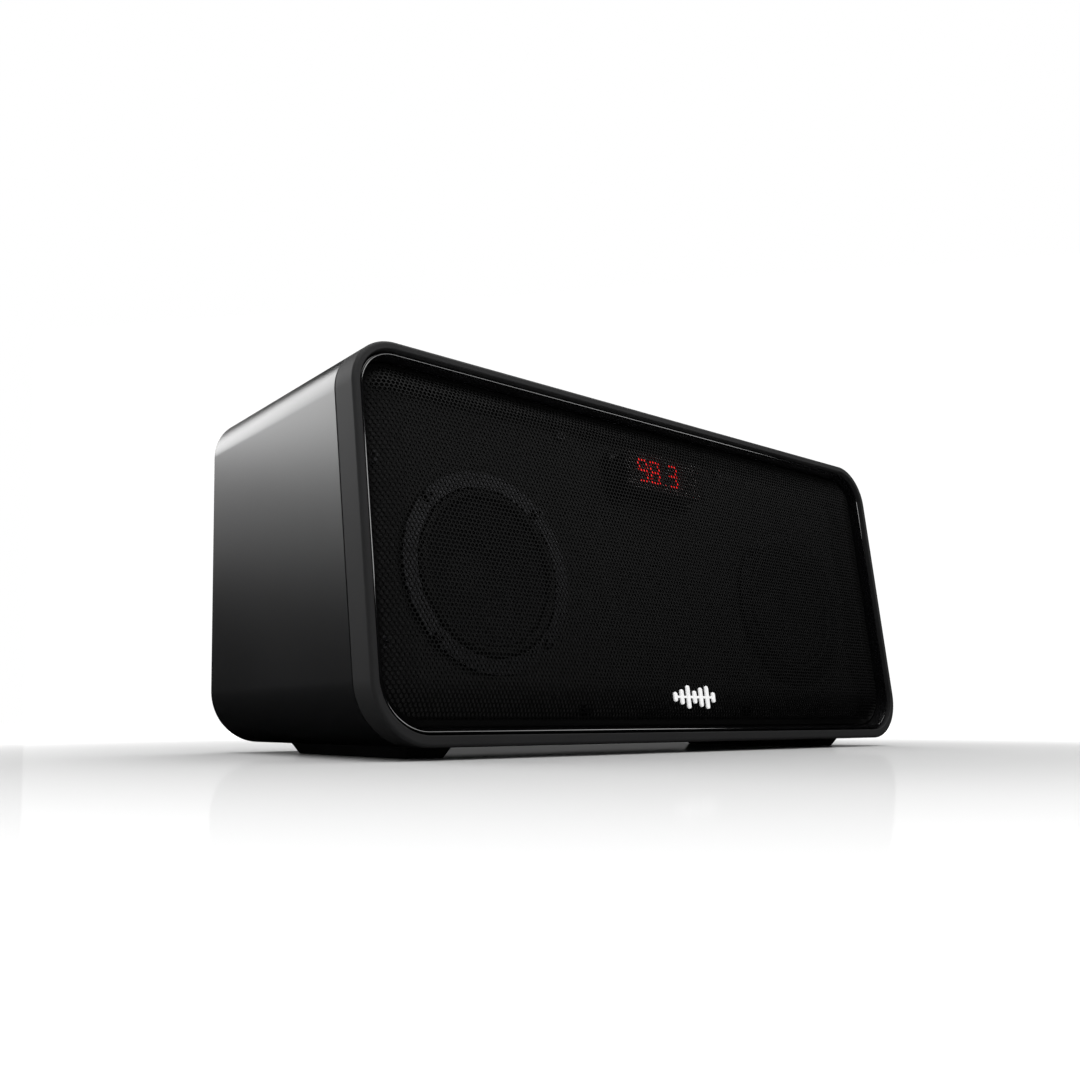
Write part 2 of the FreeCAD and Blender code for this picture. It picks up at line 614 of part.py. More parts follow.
def rear_panel():
    plate = body_prism(WALL + CLEARANCE, PANEL_INNER_Y, PANEL_OUTER_Y)
    rest = box(14, 34, PANEL_OUTER_Y - 1, ANTENNA_Y + 1,
               ANTENNA_Z - 8, ANTENNA_Z - ANTENNA_RADII[0] - CLEARANCE)
    ribs = [pad(x, 76.0, 1.0, 70.0, 0.9, PANEL_OUTER_Y - 1, PANEL_OUTER_Y + 0.7)
            for x in (-20.0 + 10.0 * i for i in range(9))]
    plate = fuse(plate, rest, *ribs)
    holes = [rod(1.7, x, z, PANEL_INNER_Y - 1, REAR_Y + 3) for x, z in rear_boss_places()]
    holes.append(rod(PORT_R + 2.3, PORT_X, PORT_Z, PANEL_INNER_Y - 1, REAR_Y + 3))
    holes.append(pad(INLET_X, MAINS_Z, 10.8, 14.6, 5.3, PANEL_INNER_Y - 1, REAR_Y + 3))
    holes.append(pad(SWITCH_X, MAINS_Z, 6.9, 21.6, 1.3, PANEL_INNER_Y - 1, REAR_Y + 3))
    holes += [rod(4.2, x, JACK_Z, PANEL_INNER_Y - 1, REAR_Y + 3) for x in JACK_X]
    holes.append(rod(5.2, ANTENNA_X, ANTENNA_Z, PANEL_INNER_Y - 1, REAR_Y + 3))
    return cut(plate, *holes)


def port_tube():
    inner_end = PANEL_OUTER_Y - PORT_LENGTH
    tube = rod(PORT_R + 2, PORT_X, PORT_Z, inner_end, PANEL_OUTER_Y + 1.5)
    lip = rod(PORT_R + 7, PORT_X, PORT_Z, PANEL_OUTER_Y + CLEARANCE, PANEL_OUTER_Y + 1.8)
    flare = Part.makeCone(PORT_R, PORT_R + 3, 6, Vector(PORT_X, PANEL_OUTER_Y - 3.1, PORT_Z), Y_AXIS)
    bore = rod(PORT_R, PORT_X, PORT_Z, inner_end - 1, REAR_Y + 4)
    return fuse(tube, lip).cut(bore).cut(flare)


# Antenna

def antenna_socket():
    """The fixed bush that the swivel turns in, nutted behind the panel."""
    x, z = ANTENNA_X, ANTENNA_Z
    bush = fuse(rod(5.0, x, z, PANEL_INNER_Y - 3, PANEL_OUTER_Y),
                rod(8.5, x, z, PANEL_OUTER_Y, PANEL_OUTER_Y + 1.6),
                rod(7.5, x, z, PANEL_INNER_Y - 3, PANEL_INNER_Y - 0.2))
    return bush.cut(rod(3.05, x, z, PANEL_INNER_Y - 4, REAR_Y + 2))


def antenna_swivel():
    """A pin and disc that turn in the bush, with a fork for the elbow's pin."""
    x, z, y = ANTENNA_X, ANTENNA_Z, ANTENNA_Y
    disc_low = PANEL_OUTER_Y + 1.9
    parts = [rod(3.0, x, z, PANEL_INNER_Y - 4.5, disc_low + 0.5), rod(7.5, x, z, disc_low, disc_low + 2.0),
             rod(3.9, x, z, PANEL_INNER_Y - 4.5, PANEL_INNER_Y - 3.2)]
    for low, high in ((-4.6, -2.3), (2.3, 4.6)):
        parts.append(box(x - 3.4, x + 3.4, disc_low + 1.5, y, z + low, z + high))
        parts.append(post(3.4, x, y, z + low, z + high))
    parts.append(post(1.2, x, y, z - 4.6, z + 4.6))
    return fuse(*parts)


def tube_along_x(outer, inner, x0, x1):
    solid = Part.makeCylinder(outer, x1 - x0, Vector(x0, ANTENNA_Y, ANTENNA_Z), X_AXIS)
    if inner:
        start = Vector(x0 - 1, ANTENNA_Y, ANTENNA_Z)
        solid = solid.cut(Part.makeCylinder(inner, x1 - x0 + 2, start, X_AXIS))
    return solid


def antenna_rod():
    """The outer tube with the elbow's eye."""
    x, z, y = ANTENNA_X, ANTENNA_Z, ANTENNA_Y
    eye = fuse(post(3.2, x, y, z - 2.0, z + 2.0), box(x - 9.0, x, y - 1.9, y + 1.9, z - 2.0, z + 2.0))
    start = x - 8.5
    plug = tube_along_x(ANTENNA_RADII[0], 0, start - 4, start)
    outer = ANTENNA_RADII[0]
    tube = tube_along_x(outer, outer - ANTENNA_WALL, start - ANTENNA_LENGTH, start - 3.9)
    return fuse(eye, plug, tube).cut(post(1.25, x, y, z - 5, z + 5))


def antenna_section(order):
    """An inner section, pushed home so that its end just shows."""
    outer = ANTENNA_RADII[order]
    start = ANTENNA_X - 8.5 - 5.0 - 3.0 * order
    end = ANTENNA_X - 8.5 - ANTENNA_LENGTH - 1.5 * order
    if order < len(ANTENNA_RADII) - 1:
        return tube_along_x(outer, outer - ANTENNA_WALL, end, start)
    knob = tube_along_x(3.4, 0, end - 9, end - 1)
    knob = knob.makeFillet(0.9, edges_on(knob, lambda p: abs(p.x - end + 9) < 0.01))
    return fuse(tube_along_x(outer, 0, end - 2, start), knob)


# Wiring

def wire(points, radius, arc_share=0.45):
    """A round lead: straight runs joined by arcs as large as the runs allow."""
    places = [Vector(*p) for p in points]
    edges = []
    start = places[0]
    for before, corner, after in zip(places, places[1:], places[2:]):
        run_in, run_out = corner - before, after - corner
        reach = arc_share * min(run_in.Length, run_out.Length)
        first = corner - run_in.normalize() * reach
        last = corner + run_out.normalize() * reach
        chord_middle = (first + last) * 0.5
        half_turn = run_in.getAngle(run_out) / 2
        bend = reach / math.tan(half_turn)
        inward = (chord_middle - corner).normalize()
        centre = corner + inward * (bend / math.cos(half_turn))
        middle = centre - inward * bend
        edges.append(Part.LineSegment(start, first).toShape())
        edges.append(Part.Arc(first, middle, last).toShape())
        start = last
    edges.append(Part.LineSegment(start, places[-1]).toShape())
    path = Part.Wire(edges)
    direction = (places[1] - places[0]).normalize()
    section = Part.Wire(Part.makeCircle(radius, places[0], direction))
    return path.makePipeShell([section], True, False)


def speaker_leads():
    """One lead from the main board to each loudspeaker's basket."""
    routes = (
        ((-54, 55, 25.8), (-54, 55, 36), (-66, 44, 44), (-84, 26, 42),
         (-103, 5, 36), (-112, -16, 34), (-112, -37, 37), (-112, -44, 46)),
        ((32, 10, 24.8), (32, 10, 36), (46, 2, 44), (68, -10, 42),
         (93, -19, 37), (110, -32, 35), (112, -43, 46)),
    )
    return [wire(route, 1.3) for route in routes]


def ribbon_cable():
    """A flat ribbon from the control board down to the main board."""
    low, high = BOARD_Z + BOARD_SHEET + 1.7, BODY_TOP - 13.8
    side = ((-8, high), (-8, 70), (4, 40), (9, low), (9.6, low), (4.6, 40.2), (-7.4, 70.1), (-7.4, high))
    loop = [Vector(-25, y, z) for y, z in side]
    return Part.Face(Part.makePolygon(loop + [loop[0]])).extrude(Vector(10, 0, 0))


def save_front():
    save("front_bezel", front_bezel())
    save("trim_ring", trim_ring())
    save("grille", grille())
    save("badge", badge())
    save("baffle", baffle())
    save("baffle_screws", *[front_facing_screw(x, v, BAFFLE_FRONT, 12)
                            for x, v, _, _ in front_boss_places()])
    save("display_filter", lean(pad(0, DISPLAY_V, 29.0, 20.0, 1.0, 2.15, 2.95)))
    save("display_segments", *display_segments())
    save("display_module", *display_module())


def save_speakers():
    for side, x in (("left", -SPEAKER_X), ("right", SPEAKER_X)):
        save("driver_frame_%s" % side, driver_frame(x))
        for name, solids in driver_parts(x):
            save("%s_%s" % (name, side), *[lean(s) for s in solids])
    save("driver_gaskets", *[lean(ring(41.2, FLANGE_R, x, SPEAKER_V, 15.05, 15.45))
                             .cut(lean(speaker_hole_tools(x))) for x in (-SPEAKER_X, SPEAKER_X)])
    save("driver_screws", *[front_facing_screw(x, v, 13.25, 9, 2.4) for x, v in speaker_screw_places()])


def speaker_hole_tools(x):
    return Part.makeCompound([rod(1.8, px, pv, 10, 20) for px, pv in speaker_screw_places() if px * x > 0])


def save_controls():
    save("control_panel", control_panel())
    for index, name in enumerate(BUTTONS):
        save("button_%s" % name, button(index))
    save("control_board", control_board())
    save("key_switches", *key_switches())
    save("panel_screws", *[upright_screw(x, STRIP_Y, BODY_TOP - 13.6, 6, False)
                           for x in panel_post_places()])


def save_inside():
    save("main_board", main_board())
    save("main_board_parts", *main_board_parts())
    save("heat_sink", heat_sink())
    save("power_board", power_board())
    save("power_parts", *power_parts())
    face = BOARD_Z + BOARD_SHEET
    save("board_screws", *[upright_screw(x, y, face, 7) for x, y in board_post_places()])
    save("speaker_leads", *speaker_leads())
    save("ribbon_cable", ribbon_cable())


def save_back():
    save("rear_panel", rear_panel())
    save("rear_screws", *[screw(x, z, PANEL_OUTER_Y, 13) for x, z in rear_boss_places()])
    save("port_tube", port_tube())
    save("audio_jacks", *audio_jacks())
    save("power_inlet", *power_inlet())
    save("switch_housing", switch_housing())
    save("switch_rocker", switch_rocker())
    save("antenna_socket", antenna_socket())
    save("antenna_swivel", antenna_swivel())
    save("antenna_rod", antenna_rod())
    save("antenna_middle", antenna_section(1))
    save("antenna_tip", antenna_section(2))


def save_cabinet():
    save("cabinet_shell", cabinet_shell())
    for side, rail in zip(("left", "right"), feet()):
        save("foot_%s" % side, rail)
    save("foot_screws", *[upright_screw(x, y, 2.6, 6, False) for x, y in foot_screw_places()])


os.makedirs("parts", exist_ok=True)
save_cabinet()
save_front()
save_speakers()
save_controls()
save_inside()
save_back()
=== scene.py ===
"""Looks of a tabletop radio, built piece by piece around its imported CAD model, in metres."""
import bmesh
import bpy
import json
import math
import numpy as np
from mathutils import Matrix, Vector


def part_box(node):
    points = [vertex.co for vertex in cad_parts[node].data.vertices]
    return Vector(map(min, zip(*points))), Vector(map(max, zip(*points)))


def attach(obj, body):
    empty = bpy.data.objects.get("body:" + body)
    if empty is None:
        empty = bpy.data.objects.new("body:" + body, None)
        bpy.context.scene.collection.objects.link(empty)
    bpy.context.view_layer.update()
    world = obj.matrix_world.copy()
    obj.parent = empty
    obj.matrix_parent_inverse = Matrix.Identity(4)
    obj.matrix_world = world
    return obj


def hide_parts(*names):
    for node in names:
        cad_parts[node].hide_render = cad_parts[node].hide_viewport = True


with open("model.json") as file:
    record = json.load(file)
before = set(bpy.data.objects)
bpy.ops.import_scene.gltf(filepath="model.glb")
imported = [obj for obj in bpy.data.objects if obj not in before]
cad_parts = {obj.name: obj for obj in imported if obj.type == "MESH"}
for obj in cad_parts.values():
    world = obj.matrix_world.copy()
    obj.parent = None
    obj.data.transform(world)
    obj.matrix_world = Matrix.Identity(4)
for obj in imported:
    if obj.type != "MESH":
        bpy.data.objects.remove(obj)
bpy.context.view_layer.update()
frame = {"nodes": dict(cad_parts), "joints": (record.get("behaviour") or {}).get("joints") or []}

# Studio: a pale floor, a white backdrop behind and to the right, and three soft boxes. The camera
# stands low in front, to the left of the radio, and looks slightly up at it.
FLOOR_HALF = 8.0
# Distances from the radio over which the floor's painted glow fades in, so the floor near the radio is left
# darker as painted shade.
FLOOR_PAINTED_GLOW_FADE = (0.22, 0.75)
SKY = 0.45
SOFT_BOXES = {
    "overhead": {"place": (0.6, 0.25, 1.7), "aim": (0.6, 0.2, 0.0),
                 "size": (4.2, 1.9), "power": 66.0},
    "left_rear": {"place": (-1.15, 1.75, 1.30), "aim": (-0.185, 0.0, 0.12),
                  "size": (1.9, 1.1), "power": 34.0},
    "left_low": {"place": (-1.05, 1.85, 0.62), "aim": (-0.185, 0.0, 0.1),
                 "size": (1.9, 0.36), "power": 1.3},
    "front_strip": {"place": (1.3, -1.5, 1.0), "aim": (0.0, -0.1, 0.1),
                    "size": (1.2, 0.40), "power": 6.5},
}
LAMP_UP = Vector((0.01, 0.02, 1))
CAMERA_PLACE = Vector((-0.37299, -0.38462, 0.01543))
CAMERA_YAW, CAMERA_PITCH, CAMERA_ROLL = 0.646, 0.068, 0.003


def look_matrix(place, forward, up):
    """A pose whose -Z looks along forward."""
    right = forward.cross(up).normalized()
    true_up = right.cross(forward).normalized()
    turn = Matrix((right, true_up, -forward.normalized())).transposed()
    return Matrix.Translation(place) @ turn.to_4x4()


class Wire:
    """One output of a material's nodes. Arithmetic on it adds Math nodes, and node() adds any other."""

    def __init__(self, tree, socket=None):
        self.tree = tree
        self.socket = socket

    def node(self, kind, settings=None, sockets=None, output=0):
        made = self.tree.nodes.new(kind)
        for name, value in (settings or {}).items():
            if name == "stops":
                ramp = made.color_ramp.elements
                while len(ramp) < len(value):
                    ramp.new(0.5)
                for stop, (position, colour) in zip(ramp, value):
                    stop.position = position
                    stop.color = colour
            else:
                setattr(made, name, value)
        for name, value in (sockets or {}).items():
            if isinstance(value, Wire):
                self.tree.links.new(value.socket, made.inputs[name])
            else:
                made.inputs[name].default_value = value
        return Wire(self.tree, made.outputs[output] if len(made.outputs) else None)

    def maths(self, operation, *values):
        return self.node("ShaderNodeMath", {"operation": operation}, dict(enumerate(values)))

    def __add__(self, other):
        return self.maths("ADD", self, other)

    def __sub__(self, other):
        return self.maths("SUBTRACT", self, other)

    def __rsub__(self, other):
        return self.maths("SUBTRACT", other, self)

    def __mul__(self, other):
        return self.maths("MULTIPLY", self, other)

    __radd__ = __add__
    __rmul__ = __mul__

    def mix(self, low, high):
        """A colour between two colours, by this value."""
        return self.node("ShaderNodeMix", {"data_type": "RGBA"}, {0: self, 6: low, 7: high}, output=2)

    def step(self, low, high):
        """0 below low, 1 above high."""
        return self.node("ShaderNodeMapRange", {"interpolation_type": "SMOOTHSTEP"},
                         {"Value": self, "From Min": low, "From Max": high})


def new_material(name):
    """An empty material and the wire that its nodes start from."""
    material = bpy.data.materials.new(name)
    material.use_nodes = True
    material.node_tree.nodes.clear()
    return material, Wire(material.node_tree)


def noise(place, scale, detail):
    """Soft noise over a place, with scale in grains per metre."""
    return place.node("ShaderNodeTexNoise", {}, {"Vector": place, "Scale": scale, "Detail": detail})


def floor_finish():
    material, start = new_material("studio_floor")
    paint = start.node("ShaderNodeBsdfDiffuse", sockets={"Color": (0.44, 0.44, 0.44, 1)})
    place = start.node("ShaderNodeTexCoord", output="Object")
    distance = start.node("ShaderNodeVectorMath", {"operation": "LENGTH"}, {0: place}, output="Value")
    # Painted light: the floor glows more with distance from the radio, whitening the far floor and leaving
    # a painted shade round the radio.
    glow = start.node("ShaderNodeEmission", sockets={
        "Color": distance.step(*FLOOR_PAINTED_GLOW_FADE).mix((0.0, 0.0, 0.0, 1), (1, 1, 1, 1)), "Strength": 1.0})
    body = start.node("ShaderNodeAddShader", sockets={0: paint, 1: glow})
    gloss = start.node("ShaderNodeBsdfGlossy", sockets={"Color": (1, 1, 1, 1), "Roughness": 0.06})
    both = start.node("ShaderNodeMixShader", sockets={0: 0.07, 1: body, 2: gloss})
    start.node("ShaderNodeOutputMaterial", sockets={"Surface": both})
    return material


def backdrop_finish():
    material, start = new_material("studio_backdrop")
    glow = start.node("ShaderNodeEmission", sockets={"Color": (1, 1, 1, 1), "Strength": 1.05})
    start.node("ShaderNodeOutputMaterial", sockets={"Surface": glow})
    return material


bpy.ops.object.select_all(action="DESELECT")
bpy.ops.mesh.primitive_plane_add(size=2 * FLOOR_HALF, location=(0, 0, 0))
floor = bpy.context.object
floor.name = "studio_floor"
floor.data.materials.append(floor_finish())
floor.visible_glossy = False

bpy.ops.mesh.primitive_plane_add(size=1)
backdrop = bpy.context.object
backdrop.name = "studio_backdrop"
backdrop.data.transform(look_matrix(Vector((3.4, 3.2, 1.2)), Vector((0.72, 0.69, 0)), Vector((0, 0, 1)))
                        @ Matrix.Diagonal((7.0, 2.4, 1, 1)))
backdrop.data.materials.append(backdrop_finish())

for name, lamp in SOFT_BOXES.items():
    light = bpy.data.lights.new(name, "AREA")
    light.shape = "RECTANGLE"
    light.size, light.size_y = lamp["size"]
    light.energy = lamp["power"]
    holder = bpy.data.objects.new(name, light)
    place = Vector(lamp["place"])
    aim = (Vector(lamp["aim"]) - place).normalized()
    holder.matrix_world = look_matrix(place, aim, LAMP_UP)
    holder.visible_camera = False
    bpy.context.scene.collection.objects.link(holder)

world = bpy.data.worlds.new("studio_air")
world.use_nodes = True
world.node_tree.nodes.clear()
air = Wire(world.node_tree)
seen = air.node("ShaderNodeLightPath", output="Is Camera Ray")
air.node("ShaderNodeOutputWorld", sockets={"Surface": air.node("ShaderNodeBackground", sockets={
    "Color": (1, 1, 1, 1), "Strength": SKY + (1 - SKY) * seen})})
world.cycles_visibility.glossy = False
bpy.context.scene.world = world
bpy.context.scene.view_settings.view_transform = "Standard"

camera_data = bpy.data.cameras.new("camera")
camera_data.sensor_width = 36.0
camera_data.lens = 31.83
camera_data.shift_x = 0.0732
camera_data.shift_y = 0.1074
camera_data.clip_start = 0.01
camera = bpy.data.objects.new("camera", camera_data)
forward = Vector((math.sin(CAMERA_YAW) * math.cos(CAMERA_PITCH),
                  math.cos(CAMERA_YAW) * math.cos(CAMERA_PITCH), math.sin(CAMERA_PITCH)))
camera.matrix_world = (look_matrix(CAMERA_PLACE, forward, Vector((0, 0, 1)))
                       @ Matrix.Rotation(-CAMERA_ROLL, 4, "Z"))
bpy.context.scene.collection.objects.link(camera)
bpy.context.scene.camera = camera

# Cabinet shell: one moulding with top, bottom and both sides, open at the front and back and cut out
# on top for the control strip. Lacquered black over the plastic, satin with a soft bloom.
shell_low, shell_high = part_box("cabinet_shell")
WALL = 0.004
TOP_RADIUS = 0.022
BOTTOM_RADIUS = 0.026
CORNER_STEPS = 28
SEAM_DEPTH = 0.0143
travel = [joint["axis"] for joint in frame["joints"] if joint["name"] == "cone_travel_left"][0]
OUT = Vector(travel).normalized()
UP = Vector((0, OUT.z, -OUT.y))
ACROSS = Vector((1, 0, 0))
FRONT_Y = -0.0832
FRONT_FOOT = Vector((0, FRONT_Y, shell_low.z))
slope_height = (shell_high.z - shell_low.z) / UP.z


def front_place(x, depth, v):
    """A point by its distance across, behind the front face and up its slope."""
    return FRONT_FOOT + ACROSS * x - OUT * depth + UP * v


def pick(kind, test):
    """In edit mode, select only what passes a test on its middle and its normal or direction."""
    bpy.ops.mesh.select_mode(type=kind)
    bpy.ops.mesh.select_all(action="DESELECT")
    mesh = bmesh.from_edit_mesh(bpy.context.edit_object.data)
    mesh.normal_update()
    if kind == "FACE":
        for face in mesh.faces:
            face.select_set(test(face.calc_center_median(), face.normal))
    elif kind == "EDGE":
        for edge in mesh.edges:
            a, b = edge.verts[0].co, edge.verts[1].co
            edge.select_set(test((a + b) / 2, (b - a).normalized()))
    else:
        for vertex in mesh.verts:
            vertex.select_set(test(vertex.co, vertex.normal))
    mesh.select_flush_mode()
    bmesh.update_edit_mesh(bpy.context.edit_object.data)


def leave_edit():
    """Go to object mode, if it isn't on, with nothing selected."""
    if bpy.context.mode != "OBJECT":
        bpy.ops.object.mode_set(mode="OBJECT")
    bpy.ops.object.select_all(action="DESELECT")


def paint(piece, material):
    """Give a piece one material in place of any that it has."""
    piece.data.materials.clear()
    piece.data.materials.append(material)


def block(name, middle, size, rotation=(0, 0, 0)):
    """A box at its size and place, left in edit mode."""
    leave_edit()
    bpy.ops.mesh.primitive_cube_add(size=1, location=middle, rotation=rotation, scale=size)
    piece = bpy.context.object
    piece.name = name
    piece.data.name = name
    bpy.ops.object.transform_apply(location=True, rotation=True, scale=True)
    bpy.ops.object.mode_set(mode="EDIT")
    return piece


def modify(piece, kind, **settings):
    """Add a modifier to a piece and apply it."""
    leave_edit()
    bpy.context.view_layer.objects.active = piece
    piece.select_set(True)
    modifier = piece.modifiers.new(kind.lower(), kind)
    for name, value in settings.items():
        setattr(modifier, name, value)
    bpy.ops.object.modifier_apply(modifier=modifier.name)


def smooth(piece, degrees=32):
    """Round shading on the curves and true flats between them."""
    leave_edit()
    bpy.context.view_layer.objects.active = piece
    piece.select_set(True)
    bpy.ops.object.shade_smooth_by_angle(angle=math.radians(degrees))
    modify(piece, "WEIGHTED_NORMAL", mode="FACE_AREA", weight=100, keep_sharp=True)


def cabinet_block(name):
    """The cabinet's outer form, longer than the radio at both ends, with its four long edges rounded."""
    middle = (shell_low + shell_high) / 2
    size = shell_high - shell_low
    piece = block(name, (middle.x, 0, middle.z), (size.x, 0.3, size.z))
    for radius, above in ((TOP_RADIUS, True), (BOTTOM_RADIUS, False)):
        pick("EDGE", lambda m, d: abs(d.y) > 0.99 and (m.z > middle.z) == above)
        bpy.ops.mesh.bevel(offset=radius, offset_type="OFFSET", segments=CORNER_STEPS, affect="EDGES")
    return piece


def trim_to(point, normal, fill):
    """Cut the whole piece in edit mode by a plane and drop what lies on the normal's side."""
    bpy.ops.mesh.select_mode(type="FACE")
    bpy.ops.mesh.select_all(action="SELECT")
    bpy.ops.mesh.bisect(plane_co=point, plane_no=normal, use_fill=fill, clear_outer=True)


def drop_faces(test):
    pick("FACE", test)
    bpy.ops.mesh.delete(type="FACE")


def lacquer():
    """Black lacquer: even colour, a faint orange peel and a roughness that drifts a little."""
    material, start = new_material("cabinet_lacquer")
    place = start.node("ShaderNodeTexCoord", output="Object")
    peel = noise(place, 900.0, 1.0)
    drift = noise(place, 14.0, 3.0)
    bump = start.node("ShaderNodeBump", {}, {"Strength": 0.05, "Distance": 0.00004, "Height": peel})
    shader = start.node("ShaderNodeBsdfPrincipled", {}, {
        "Base Color": drift.mix((0.0060, 0.0061, 0.0066, 1), (0.0085, 0.0086, 0.0092, 1)),
        "Roughness": 0.27 + 0.05 * drift, "Specular IOR Level": 0.5, "IOR": 1.5, "Normal": bump})
    start.node("ShaderNodeOutputMaterial", sockets={"Surface": shader})
    return material


shell = cabinet_block("cabinet_shell_lacquered")
trim_to(front_place(0, SEAM_DEPTH, 0), OUT, False)
trim_to(Vector((0, shell_high.y, 0)), Vector((0, 1, 0)), False)
modify(shell, "SOLIDIFY", thickness=WALL, offset=-1, use_even_offset=True)
strip_low, strip_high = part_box("control_panel")
STRIP_ROOM = 0.0003
STRIP_FLANGE = 0.0050
strip_x = (strip_high.x - strip_low.x) / 2 - STRIP_FLANGE + STRIP_ROOM
strip_y = (strip_high.y - strip_low.y) / 2 - STRIP_FLANGE + STRIP_ROOM
strip_middle = (strip_low + strip_high) / 2
cutter = block("strip_opening", (0, strip_middle.y, shell_high.z), (2 * strip_x, 2 * strip_y, 0.03))
pick("EDGE", lambda m, d: abs(d.z) > 0.99)
bpy.ops.mesh.bevel(offset=0.005, offset_type="OFFSET", segments=8, affect="EDGES")
modify(shell, "BOOLEAN", operation="DIFFERENCE", solver="EXACT", object=cutter)
bpy.data.objects.remove(cutter)
bpy.ops.object.mode_set(mode="EDIT")
inside_x = shell_high.x - WALL / 2
inside_low, inside_high = shell_low.z + WALL / 2, shell_high.z - WALL / 2


def outer_skin(point):
    beside = abs(point.x) > inside_x or not inside_low < point.z < inside_high
    return beside or corner_reach(point) > -WALL / 2


def corner_reach(point):
    """How far a point stands outside the cabinet's rounded corners; negative inside."""
    radius = TOP_RADIUS if point.z > (shell_low.z + shell_high.z) / 2 else BOTTOM_RADIUS
    dx = abs(point.x) - (shell_high.x - radius)
    dz = max(point.z - (shell_high.z - radius), (shell_low.z + radius) - point.z)
    return math.hypot(dx, dz) - radius if dx > 0 and dz > 0 else -radius


pick("EDGE", lambda m, d: abs(m.y - shell_high.y) < 1e-5 and outer_skin(m) and abs(d.y) < 0.01)
bpy.ops.mesh.bevel(offset=0.0014, offset_type="OFFSET", segments=5, affect="EDGES")
pick("EDGE", lambda m, d: abs((m - front_place(0, SEAM_DEPTH, 0)).dot(OUT)) < 1e-5 and outer_skin(m)
     and abs(d.dot(OUT)) < 0.01)
bpy.ops.mesh.bevel(offset=0.0005, offset_type="OFFSET", segments=3, affect="EDGES")
pick("EDGE", lambda m, d: abs(m.z - shell_high.z) < 1e-5 and abs(d.z) < 0.01
     and abs(m.x) < strip_x + 1e-4 and abs(m.y - strip_middle.y) < strip_y + 1e-4)
bpy.ops.mesh.bevel(offset=0.0004, offset_type="OFFSET", segments=3, affect="EDGES")
smooth(shell)
paint(shell, lacquer())
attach(shell, "cabinet")
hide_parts("cabinet_shell")

# Front bezel: a satin moulding whose 14 mm side band carries the cabinet's form forward to a narrow
# flat ring round the grille. A tongue behind it locates it in the shell.
BAND_DEPTH = 0.0140
BEZEL_ROUND = 0.0016
RING_WIDTH = 0.0032
RING_EDGE = 0.0003
SILL = 0.0014
MOUTH_DEPTH = 0.0090
FLANGE_REACH = 0.0120


def satin_moulding():
    """Black plastic from a finely spark-eroded mould."""
    material, start = new_material("bezel_satin")
    place = start.node("ShaderNodeTexCoord", output="Object")
    grain = noise(place, 2600.0, 2.0)
    drift = noise(place, 22.0, 2.0)
    bump = start.node("ShaderNodeBump", {}, {"Strength": 0.12, "Distance": 0.00003, "Height": grain})
    shader = start.node("ShaderNodeBsdfPrincipled", {}, {
        "Base Color": drift.mix((0.0165, 0.0165, 0.0170, 1), (0.0200, 0.0200, 0.0205, 1)),
        "Roughness": 0.54 + 0.08 * grain, "Specular IOR Level": 0.13, "Normal": bump})
    start.node("ShaderNodeOutputMaterial", sockets={"Surface": shader})
    return material


def on_outer_form(point):
    """True on the cabinet's outside, flats and rounded corners alike."""
    flat = (abs(abs(point.x) - shell_high.x) < 1e-5 or abs(point.z - shell_low.z) < 1e-5
            or abs(point.z - shell_high.z) < 1e-5)
    return flat or abs(corner_reach(point)) < 1e-4


def on_plane(point, depth):
    """True in the plane at a depth behind the front face."""
    return abs((point - front_place(0, depth, 0)).dot(OUT)) < 2e-5


def lift_selected_foot(amount):
    """Raise the lower half of the selected loop up the slope."""
    mesh = bmesh.from_edit_mesh(bpy.context.edit_object.data)
    for vertex in mesh.verts:
        if vertex.select and (vertex.co - FRONT_FOOT).dot(UP) < slope_height / 2:
            vertex.co += UP * amount
    bmesh.update_edit_mesh(bpy.context.edit_object.data)


def push(depth):
    """Extrude the selected face along the front's normal, inwards for a positive depth."""
    bpy.ops.mesh.extrude_region_move(TRANSFORM_OT_translate={"value": -OUT * depth})


bezel = cabinet_block("front_bezel_satin")
trim_to(front_place(0, 0, 0), OUT, True)
trim_to(front_place(0, BAND_DEPTH, 0), -OUT, True)
pick("FACE", lambda m, n: on_plane(m, 0) and n.dot(OUT) > 0.99)
bpy.ops.mesh.region_to_loop()
bpy.ops.mesh.bevel(offset=BEZEL_ROUND, offset_type="OFFSET", segments=6, affect="EDGES")
pick("FACE", lambda m, n: on_plane(m, 0) and n.dot(OUT) > 0.999 and abs(m.x) < 0.01)
bpy.ops.mesh.inset(thickness=RING_WIDTH - BEZEL_ROUND)
lift_selected_foot(SILL)
bpy.ops.mesh.inset(thickness=RING_EDGE, depth=-RING_EDGE)
push(MOUTH_DEPTH - RING_EDGE)
bpy.ops.mesh.inset(thickness=FLANGE_REACH - RING_WIDTH - RING_EDGE)
lift_selected_foot(-SILL)
push(BAND_DEPTH - MOUTH_DEPTH)
bpy.ops.mesh.delete(type="FACE")
pick("FACE", lambda m, n: on_plane(m, BAND_DEPTH) and n.dot(OUT) < -0.99)
bpy.ops.mesh.inset(thickness=FLANGE_REACH)
bpy.ops.mesh.delete(type="FACE")
pick("EDGE", lambda m, d: False)
bpy.ops.mesh.select_non_manifold()
bpy.ops.mesh.bridge_edge_loops()
pick("EDGE", lambda m, d: on_plane(m, BAND_DEPTH) and abs(d.dot(OUT)) < 0.01 and on_outer_form(m))
bpy.ops.mesh.bevel(offset=0.0004, offset_type="OFFSET", segments=3, affect="EDGES")
smooth(bezel)
paint(bezel, satin_moulding())
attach(bezel, "cabinet")
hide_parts("front_bezel")

# Trim ring: a narrow polished black moulding inside the bezel. Its front lip is slightly crowned, so
# that it catches the light, and behind the lip its wall goes down to the edge of the grille.
TRIM_OUTER, TRIM_LIP, TRIM_FOOT = 0.0045, 0.0054, 0.0062
FOOT_SILL = 0.0030
TRIM_FRONT, TRIM_SLOPE_END, TRIM_BACK = 0.0018, 0.0080, 0.0088
CROWN_HALF_ANGLE = math.radians(20)
CROWN_STEPS = 6


